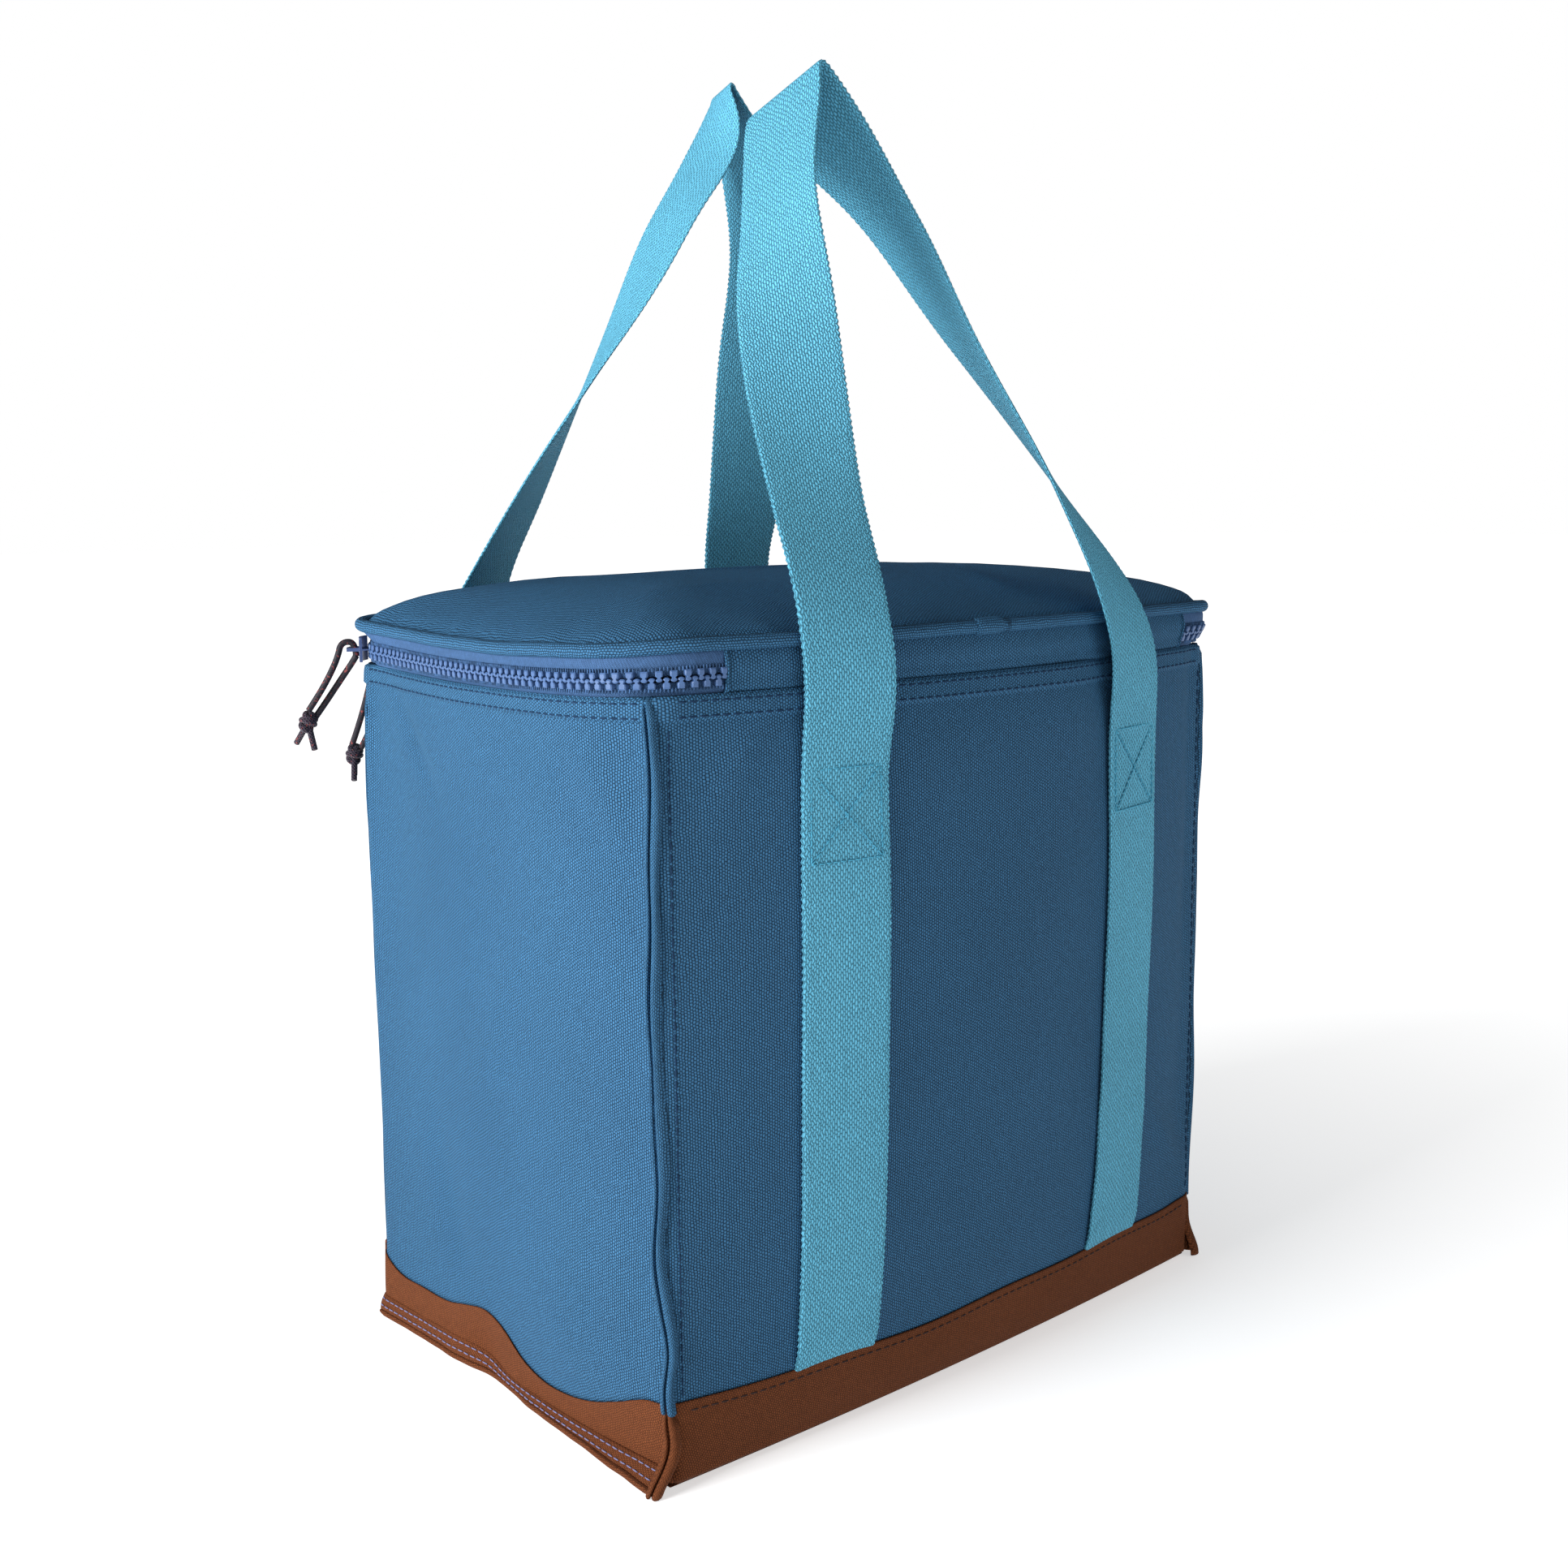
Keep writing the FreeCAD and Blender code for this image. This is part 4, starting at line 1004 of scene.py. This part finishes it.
def make_tape(name, section, body, node):
    """A tape along the rim, given as a section of heights and offsets."""
    heights = [height for height, _ in section]
    line, way, places = rim_path(0.0, RIM_TOP, ZIP_END)
    rows = []
    for height, out in section:
        row = line + way * out
        row[:, 2] = height
        rows.append(row)
    points = settle(np.array(rows))
    uvs = np.stack(np.broadcast_arrays(places[None, :], np.array(heights)[:, None]), -1)
    outward = points[0] - points.mean(1).mean(0)
    outward[:, 2] = 0
    tape = cloth(name, points, uvs, 0.7 * MM, MAT["tape"], unit(outward)[None])
    return place_piece(tape, body, "zip_tape", node)


def make_beads(name, height, body):
    """The ladder of stitches that binds the teeth to the tape's edge."""
    line, way, _ = rim_path(0.35 * MM, ZIP_LEVEL, ZIP_END - 1 * MM, step=1.15 * MM)
    line[:, 2] = height
    line = settle(line)
    points, faces = [], []
    tall = 0.85 * MM
    for spot, normal in zip(line, way):
        side = np.cross(normal, (0, 0, 1))
        first = len(points)
        for up, width in ((-1, 0.3), (-0.7, 0.9), (0.0, 1.0), (0.7, 0.9), (1, 0.3)):
            for k in range(6):
                angle = math.pi * k / 3
                points.append(spot + np.array((0, 0, up * tall)) + 0.36 * MM * width
                              * (math.cos(angle) * side + math.sin(angle) * normal))
        faces += grid_faces(5, 6, first, close=True)
    beads = mesh_piece(name, np.array(points), faces, np.zeros((len(points), 2)), MAT["tape"])
    return place_piece(beads, body, "zip_tape")


def make_teeth(name, up, body, node):
    """One row of moulded teeth, each with a waisted head that meshes with the other row."""
    line, way, _ = rim_path(0.0, ZIP_LEVEL, ZIP_END - 0.5 * MM, step=TOOTH_PITCH / 2)
    points, faces = [], []
    outline = np.array(TOOTH_OUTLINE) * MM
    count = len(outline)
    for number in range(1 if up > 0 else 2, len(line) - 1, 2):
        spot, normal = line[number], way[number]
        side = unit(np.cross(normal, (0, 0, 1)))
        first = len(points)
        for depth, shrink in ((-0.5, 1.0), (1.25, 1.0), (1.6, 0.74)):
            middle = np.array((0, 0, up * 1.1 * MM))
            for across, rise in outline:
                flat = side * across * shrink + np.array((0, 0, up * rise)) * shrink + middle * (1 - shrink)
                points.append(spot + flat + normal * depth * MM)
        faces += grid_faces(3, count, first, close=True, flip=up > 0)
        cap = tuple(first + 2 * count + k for k in range(count))
        faces.append(cap if up < 0 else cap[::-1])
    points = settle(np.array(points))
    teeth = mesh_piece(name, points, faces, np.zeros((len(points), 2)), MAT["teeth"])
    for polygon in teeth.data.polygons:
        polygon.use_smooth = False
    return place_piece(teeth, body, "zip_teeth", node)


def front_strip(heights, outs, reach):
    """Rows of points along the front between -reach and reach in x."""
    x = np.linspace(-reach, reach, 100)
    rows = []
    for height, out in zip(heights, outs):
        z = np.full(len(x), height)
        full = fullness(z)
        slope = 2 * full * x / HALF**2
        normal = np.stack([slope, -np.ones(len(x)), 0 * x], -1)
        spot = np.stack([x, -(DEPTH + full * (1 - (x / HALF) ** 2)), z], -1)
        rows.append(spot + unit(normal) * out)
    return settle(np.array(rows)), x


# The strip's section, from the body up to the lid: height, and how far out of the wall.
HINGE_PROFILE = ((276.5, -1.6), (279.3, -1.3), (280.3, -0.5), (281.2, 0.3), (282.2, 0.55), (283.4, 0.3),
                 (284.6, 0.45), (285.8, 0.7), (287.0, 0.9), (288.4, 0.95), (290, 0.8), (292, 0.4),
                 (293.6, -0.1), (295.2, -0.8), (296.5, -1.4))


def make_hinge_strip():
    """The cloth that joins lid and body between the ends of the zip; it folds at the zip's level."""
    heights, outs = np.array(HINGE_PROFILE).T * MM
    points, x = front_strip(heights, outs, ZIP_END + 0.4 * MM)
    points[..., 1] -= (0.35 * MM * ripple(points, 22 * MM, 12)) * bell(points[..., 2], 288 * MM, 6 * MM)
    uvs = np.stack(np.broadcast_arrays(x[None, :], heights[:, None]), -1)
    strip = cloth("fabric_hinge_strip", points, uvs, 0.9 * MM, MAT["panel"], np.array((0, -1, 0)))
    edges = []
    for sign in (-1, 1):
        column = points[1:-1, 0 if sign < 0 else -1]
        edges.append(tube("strip_fold_%d" % (sign + 1), column, 0.75 * MM, MAT["panel"], (1, 0, 0), 8))
    strip = join("fabric_hinge_strip", [strip, *edges])
    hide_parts("lower_hinge_strip", "upper_hinge_strip")
    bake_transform(strip)


# Each tape's section: height, and how far out of the wall.
LOWER_TAPE = ((BODY_TOP - 6 * MM, -2.2 * MM), (BODY_TOP - 1 * MM, -1.4 * MM),
              (BODY_TOP + 1.2 * MM, -0.5 * MM), (ZIP_LEVEL - 2.6 * MM, -0.3 * MM),
              (ZIP_LEVEL - 1.0 * MM, -0.4 * MM))
UPPER_TAPE = ((ZIP_LEVEL + 1.0 * MM, -0.4 * MM), (ZIP_LEVEL + 2.6 * MM, -0.3 * MM),
              (ZIP_LEVEL + 4.5 * MM, 0.1 * MM), (RIM_TOP - 1.5 * MM, -0.1 * MM),
              (RIM_TOP + 1.5 * MM, -1.2 * MM))


def make_zip():
    make_tape("lower_tape_cloth", LOWER_TAPE, "root", "lower_zip_tape")
    make_tape("upper_tape_cloth", UPPER_TAPE, "lid", "upper_zip_tape")
    make_beads("lower_tape_beads", ZIP_LEVEL - CHAIN_HALF - 0.45 * MM, "root")
    make_beads("upper_tape_beads", ZIP_LEVEL + CHAIN_HALF + 0.45 * MM, "lid")
    make_teeth("lower_teeth", -1, "root", "lower_zip_teeth")
    make_teeth("upper_teeth", 1, "lid", "upper_zip_teeth")
    make_hinge_strip()


make_zip()


# ---------------------------------------------------------------- lid
def make_piping():
    """The covered cord round the lid's edge, with the overlap where its two ends meet in front."""
    line, way, places = rim_path(-0.6 * MM, RIM_TOP, None, step=2.2 * MM)
    line = line[:-1]
    line[:, 2] = PIPING_TOP - PIPING_RADIUS
    line[:, 2] += 0.35 * MM * ripple(line, 26 * MM, 21)
    piping = tube("lid_piping_cloth", settle(line), PIPING_RADIUS, MAT["panel"], (0, 0, 1), 16, closed=True)
    x = np.linspace(-16 * MM, -2 * MM, 12)
    slope = fullness(RIM_TOP) * (1 - (x / HALF) ** 2)
    lap = np.stack([x, -(DEPTH + slope - 0.6 * MM), np.full(12, PIPING_TOP - PIPING_RADIUS + 0.1 * MM)], -1)
    cover = tube("piping_overlap", lap, PIPING_RADIUS + 0.8 * MM, MAT["panel"], UP, 16, taper=(0.84, 0.97))
    flange = []
    edge, way, places = rim_path(0.0, RIM_TOP, None, step=2.2 * MM)
    for out, height in ((-1.4, 0.2), (-1.0, -1.4), (-0.9, -3.0)):
        ring = edge + way * out * MM
        ring[:, 2] = PIPING_TOP - 2 * PIPING_RADIUS + (height + 0.4) * MM
        flange.append(ring)
    flange = settle(np.array(flange))
    uvs = np.stack(np.broadcast_arrays(places[None, :], np.arange(3)[:, None] * 1.6 * MM), -1)
    outward = flange[0] - flange[0].mean(0)
    skirt = cloth("piping_flange", flange, uvs, 0.6 * MM, MAT["panel"], unit(outward)[None])
    place_piece(join("lid_piping_cloth", [piping, cover, skirt]), "lid", "panel_fabric", "lid_piping")


LID_SEAM_DROP = 3.2 * MM


def lid_height(inward, x, y):
    """Height of the lid's cloth at a distance in from its seam."""
    crown = LID_PEAK - PIPING_TOP
    rise = 1 - (1 - np.clip(inward / (88 * MM), 0, 1)) ** (
        2.4 + 1.8 * ease(95 * MM, 142 * MM, x) + 0.8 * ease(95 * MM, 142 * MM, -x))
    step = 1.4 * MM * ease(2 * MM, 7 * MM, inward) * (1 - rise)
    z = PIPING_TOP - LID_SEAM_DROP + (crown + LID_SEAM_DROP) * rise + step
    u, v = x / MM, y / MM
    folds = 1.1 * bell(u - 0.5 * (v + 60), 48, 8) * bell(v, -62, 26)
    folds = folds - 0.9 * bell(u - 0.45 * (v + 60), 66, 8) * bell(v, -66, 24)
    folds = folds + 1.1 * bell(u + 0.6 * (v + 20), 96, 10) * bell(v, -30, 30)
    folds = folds + 0.9 * bell(v + 0.2 * u, -74, 7) * bell(u, -88, 40)
    folds = folds - 0.8 * bell(v - 0.3 * u, 60, 10) * bell(u, -40, 60)
    folds = folds + 0.8 * bell(u + 0.3 * v, -104, 9) * bell(v, 20, 50)
    return z + folds * MM * ease(3 * MM, 16 * MM, inward)


def make_lid():
    line, way, places = rim_path(-1.0 * MM, RIM_TOP, None, step=3.0 * MM)
    line = line[:-1]
    count = len(line)
    inward = np.r_[0, 0.6, 1.4, 2.4, 3.8, 5.6, 8, 11, 15, 20, 26, 33, 41, 50, 60, 71, 82, 92] * MM
    rows = []
    for step_in in inward:
        share = step_in / (100 * MM)
        ring = line.copy()
        flat = line * np.array((1 - share * 0.62, 1 - share * 0.96, 1))
        straight = line - way[:-1] * step_in
        mix = ease(0, 40 * MM, step_in)
        ring[:, :2] = (straight * (1 - mix) + flat * mix)[:, :2]
        ring[:, 2] = lid_height(step_in, ring[:, 0], ring[:, 1])
        rows.append(ring)
    points = np.array(rows)
    puckers = 0.45 * MM * np.sin(places[:-1] / (5.2 * MM) + 3 * ripple(line, 40 * MM, 31))
    points[..., 2] += puckers[None, :] * bell(inward, 6 * MM, 4.5 * MM)[:, None]
    points[..., 2] += 0.9 * MM * ripple(points, 60 * MM, 14) * ease(4 * MM, 25 * MM, inward)[:, None]
    points = settle(points)
    uvs = points[..., :2].copy()
    inner = points - np.array((0, 0, 0.9 * MM))
    faces = grid_faces(len(inward), count, 0, close=True, flip=True)
    total = len(inward) * count
    faces += grid_faces(len(inward), count, total, close=True)
    last = (len(inward) - 1) * count
    half = count // 2
    for first, turned in ((last, False), (last + total, True)):
        for j in range(half - 1):
            quad = (first + j, first + j + 1, first + count - 2 - j, first + count - 1 - j)
            faces.append(quad[::-1] if turned else quad)
    for j in range(count):
        k = (j + 1) % count
        faces.append((j, k, k + total, j + total))
    both = np.concatenate([points.reshape(-1, 3), inner.reshape(-1, 3)])
    top = mesh_piece("lid_top_cloth", both, faces, np.concatenate([uvs.reshape(-1, 2)] * 2), MAT["panel"])
    place_piece(top, "lid", "panel_fabric", "lid_top_panel", "lid_foam")


def fill_plate(name, outline, height, bow, material, thickness):
    """A plate inside a closed outline that runs round the bag, bowed by bow at its middle."""
    shares = np.linspace(0, 0.97, 16)
    count = len(outline)
    rows = []
    for share in shares:
        ring = outline * np.array((1 - share, 1 - share, 1))
        ring[:, 2] = height + bow * (1 - (1 - share) ** 2)
        rows.append(ring)
    points = np.array(rows)
    uvs = points[..., :2]
    down = points - np.array((0, 0, thickness))
    total = len(shares) * count
    faces = grid_faces(len(shares), count, 0, close=True, flip=True)
    faces += grid_faces(len(shares), count, total, close=True)
    last = (len(shares) - 1) * count
    faces.append(tuple(last + j for j in range(count)))
    faces.append(tuple(total + last + j for j in range(count))[::-1])
    for j in range(count):
        k = (j + 1) % count
        faces.append((j, k, k + total, j + total))
    both = np.concatenate([points.reshape(-1, 3), down.reshape(-1, 3)])
    return mesh_piece(name, both, faces, np.concatenate([uvs.reshape(-1, 2)] * 2), material)


def make_lid_liner():
    line = settle(rim_path(-3.4 * MM, RIM_TOP, step=3.5 * MM)[0][:-1])
    liner = fill_plate("lid_liner_foil", line, RIM_TOP - 0.6 * MM, -1.5 * MM, MAT["foil"], -0.5 * MM)
    for vertex in liner.data.vertices:
        inside = 1 - max(abs(vertex.co.x) / HALF, abs(vertex.co.y) / (DEPTH * 1.2))
        vertex.co.z += 1.6 * MM * noise.noise(vertex.co / (24 * MM)) * min(1.0, inside * 8)
    place_piece(liner, "lid", "foil_liner", "lid_liner")
    binding = rim_path(-2.6 * MM, RIM_TOP, step=2.5 * MM)[0][:-1]
    binding[:, 2] = RIM_TOP - 1.0 * MM
    tape = tube("lid_inner_binding", settle(binding), 1.7 * MM, MAT["panel"], UP, 10, True, 0.7)
    place_piece(tape, "lid", "panel_fabric")


make_piping()
make_lid()
make_lid_liner()


# ---------------------------------------------------------------- inside
def make_liner():
    """The foil lining: slack walls with a turned top edge over the foam, and a floor."""
    depths = np.r_[0.0, 0.004, 0.01, np.linspace(0.03, 0.95, 30), 0.965, 0.98, 0.99, 0.997, 1.0]
    low, high = LINER_LOW, BODY_TOP - 0.6 * MM
    rows = []
    for share in depths:
        height = low + share * (high - low)
        line, way, places = rim_path(0.0, height, None, count=200)
        line = line[:-1]
        inset = -6.8 + 5.2 * float(ease(0.962, 1.0, share)) + 0.6 * float(bell(share, 0.95, 0.02))
        line = line + way[:-1] * inset * MM
        line[:, 2] = height + 1.2 * MM * float(bell(share, 0.985, 0.012))
        rows.append(line)
    points = np.array(rows)
    slack = ripple(points, 34 * MM, 17) + 0.5 * ripple(points, 15 * MM, 18)
    middle = points * np.array((1, 1, 0))
    hold = ease(0.0, 0.06, depths) * (1 - ease(0.9, 0.96, depths))
    points = points - unit(middle) * (np.clip(slack, -1, 1) * 1.5 * MM * hold[:, None] + 0.2 * MM)[..., None]
    points = settle(points)
    count = points.shape[1]
    uvs = np.stack(np.broadcast_arrays(places[None, :-1], points[..., 2]), -1)
    outer = points + unit(middle) * 0.35 * MM
    total = len(depths) * count
    faces = grid_faces(len(depths), count, 0, close=True, flip=False)
    faces += grid_faces(len(depths), count, total, close=True, flip=True)
    both = np.concatenate([points.reshape(-1, 3), outer.reshape(-1, 3)])
    for j in range(count):
        k = (j + 1) % count
        last = (len(depths) - 1) * count
        faces.append((last + j, last + k, last + k + total, last + j + total))
        faces.append((k, j, j + total, k + total))
    walls = mesh_piece("liner_walls_foil", both, faces, np.concatenate([uvs.reshape(-1, 2)] * 2), MAT["foil"])
    place_piece(walls, "root", "foil_liner", "liner_walls")
    floor = fill_plate("liner_floor_foil", points[0], LINER_LOW + 0.5 * MM, 0.0, MAT["foil"], 0.5 * MM)
    for vertex in floor.data.vertices:
        vertex.co.z += 0.6 * MM * max(-0.6, noise.noise(vertex.co / (26 * MM)))
    place_piece(floor, "root", "foil_liner", "liner_floor")
    top = rim_path(-1.9 * MM, BODY_TOP, step=2.5 * MM)[0][:-1]
    top[:, 2] = BODY_TOP - 0.9 * MM
    binding = tube("body_inner_binding", settle(top), 1.6 * MM, MAT["panel"], UP, 10, True, 0.8)
    place_piece(binding, "root", "panel_fabric")


make_liner()
base_board = fill_plate("base_board_plate", rim_path(-2.4 * MM, 1 * MM, None, step=4 * MM)[0][:-1],
                        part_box("base_board")[1].z - 0.1 * MM, 0.0, MAT["board"], 1.7 * MM)
place_piece(base_board, "root", "board", "base_board")
base_foam = fill_plate("base_foam_pad", rim_path(-3.2 * MM, 4 * MM, None, step=4 * MM)[0][:-1],
                       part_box("base_foam")[1].z - 0.2 * MM, 0.0, MAT["foam"], 4.6 * MM)
place_piece(base_foam, "root", "foam", "base_foam")


# ---------------------------------------------------------------- webbing
# Stations up each leg above its sewn strap: x, y, z and the webbing's turn about the vertical.
LEGS = {
    "front": (
        ((-79, -119.2, 284, 12), (-79.5, -116, 306, 10), (-69, -91, 346, 14), (-50.5, -57.5, 402, 46),
         (-31.5, -30.5, 459, 87)),
        ((78, -119.2, 284, 12), (70, -116, 306, 18), (60.5, -94.5, 346, 38), (44, -61, 402, 57),
         (29, -27.5, 459, 82)),
    ),
    "back": (
        ((-81, 119.8, 284, 14), (-74, 118.8, 306, 26), (-60.5, 102.5, 346, 38), (-42, 75, 402, 62),
         (-26.5, 41, 459, 84), (-6.7, 34.5, 494.8, 82)),
        ((76, 119.8, 284, 5), (72, 119.3, 306, 4), (64.5, 103, 346, 16), (50, 76, 402, 38),
         (28, 41.6, 459, 62)),
    ),
}
PEAKS = {
    "front": ((-11.5, -12.5, 505.5), (0.36, -0.76, 0.53)),
    "back": ((-3.9, 34.7, 514.4), (0.47, 0.88, 0.03)),
}
WEB_THICK = 1.5 * MM
STRAP_SPAN = HALF - 3.2 * MM
ROW_STEP = 1.3 * MM


def leg_path(side, which):
    """Centres and across-vectors from the band up one leg to the crease."""
    face = -1 if side == "front" else 1
    x_sign = -1 if which == 0 else 1
    z = np.linspace(BAND_TOP - 3.5 * MM, STRAP_TOP - 6 * MM, 46)
    x = np.full(len(z), x_sign * STRAP_X)
    out = 0.95 * MM - 1.9 * MM * (1 - ease(BAND_TOP - 0.2 * MM, BAND_TOP + 3.5 * MM, z))
    place = x / STRAP_SPAN
    centres, _ = wall(side, place, z, out)
    edge_a, _ = wall(side, place + 0.13, z, out)
    edge_b, _ = wall(side, place - 0.13, z, out)
    across = unit(edge_a - edge_b)
    centres[:, 1] += face * 0.2 * MM
    stations = [np.array(s[:3]) * MM for s in LEGS[side][which]]
    turns = [math.radians(s[3]) for s in LEGS[side][which]]
    slants = [np.array((math.cos(t), x_sign * math.sin(t) * -face, 0)) for t in turns]
    peak, crease = PEAKS[side]
    crease = unit(np.array(crease))
    crease_here = crease if crease.dot(slants[-1]) > 0 else -crease
    peak = np.array(peak) * MM
    short = peak - unit(peak - stations[-1]) * 5 * MM
    knots = [centres[-6], centres[-1], *stations, short]
    sides = [across[-6], across[-1], *slants, crease_here]
    length = np.r_[0, np.cumsum(np.linalg.norm(np.diff(np.array(knots), axis=0), axis=1))]
    places = np.linspace(length[1], length[-1], 220)
    upper = smooth_line(through(list(zip(length, knots)), places), 50)
    upper_sides = smooth_line(through(list(zip(length, sides)), places), 50)
    return np.concatenate([centres, upper[1:]]), unit(np.concatenate([across, upper_sides[1:]])), peak


def make_webbing(side):
    """One length of webbing: up a strap, over the crease and down the other strap."""
    left, left_across, peak = leg_path(side, 0)
    right, right_across, _ = leg_path(side, 1)
    right_across = -right_across
    t = np.linspace(0, 1, 13)[1:-1, None]
    lift = peak + unit(peak - (left[-1] + right[-1]) / 2) * 1.2 * MM
    over = (1 - t) ** 2 * left[-1] + 2 * t * (1 - t) * lift + t**2 * right[-1]
    over_across = unit((1 - t) * left_across[-1] + t * right_across[-1])
    path = np.concatenate([left, over, right[::-1]])
    across = np.concatenate([left_across, over_across, right_across[::-1]])
    length = lengths_along(path)
    places = np.linspace(0, length[-1], int(length[-1] / ROW_STEP))
    line = picked(places, length, path)
    line = smooth_line(line, 4)
    ways = unit(picked(places, length, across))
    tangents = unit(np.gradient(line, axis=0))
    square = ways - tangents * np.sum(ways * tangents, -1, keepdims=True)
    near_peak = bell(np.linalg.norm(line - peak, axis=1), 0, 22 * MM)[:, None]
    ways = unit(square * (1 - near_peak) + ways * near_peak)
    normals = unit(np.cross(ways, tangents))
    shares = np.array([-1, -0.985, -0.95, -0.86, -0.66, -0.4, -0.13, 0.13, 0.4, 0.66, 0.86, 0.95, 0.985, 1])
    thick = WEB_THICK / 2 * np.clip(1 - np.abs(shares) ** 40, 0.25, 1) ** 0.5
    scallop = 0.3 * MM * np.where(np.arange(len(line)) % 2, 1, -1)
    half = WEBBING_HALF - 0.35 * MM + scallop
    middle = line[:, None] + ways[:, None] * (shares[None, :] * half[:, None])[..., None]
    upper = middle + normals[:, None] * thick[None, :, None]
    lower = middle - normals[:, None] * thick[None, :, None]
    ring = np.concatenate([upper, lower[:, ::-1]], 1)
    across_m = np.concatenate([shares, shares[::-1] + 0.06])[None, :] * WEBBING_HALF + 0 * places[:, None]
    uvs = np.stack([across_m, places[:, None] + 0 * across_m], -1)
    columns = ring.shape[1]
    faces = grid_faces(len(line), columns, close=True, flip=False)
    faces.append(tuple(range(columns)))
    faces.append(tuple((len(line) - 1) * columns + j for j in range(columns))[::-1])
    webbing = mesh_piece(side + "_webbing", ring, faces, uvs, MAT["webbing"])
    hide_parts(side + "_handle", side + "_left_strap", side + "_right_strap")
    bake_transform(webbing)


def strap_stitches(side):
    """The box with a cross that holds each handle."""
    face = -1 if side == "front" else 1
    top, low, half = STRAP_TOP - 3 * MM, STRAP_TOP - 36 * MM, WEBBING_HALF - 4.5 * MM
    rows = []
    for x_sign in (-1, 1):
        box = [(-half, low), (half, low), (half, top), (-half, top), (-half, low), (half, top)]
        for (xa, za), (xb, zb) in [*zip(box, box[1:]), ((-half, top), (half, low))]:
            x = x_sign * STRAP_X + np.linspace(xa, xb, 14)
            points, _ = wall(side, x / STRAP_SPAN, np.linspace(za, zb, 14), 2.05 * MM)
            points[:, 1] += face * 0.2 * MM
            rows.append(points)
    thread = stitches(side + "_strap_stitching", rows, MAT["strap_thread"], [(0, face, 0)] * len(rows),
                      length=2.4 * MM, gap=0.5 * MM, radius=0.34 * MM)
    place_piece(thread, "root", "webbing")


for strap_side in ("front", "back"):
    make_webbing(strap_side)
    strap_stitches(strap_side)

for slider_name in ("corner_slider", "back_slider"):
    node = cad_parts[slider_name]
    node.data.materials.clear()
    node.data.materials.append(MAT["metal"])
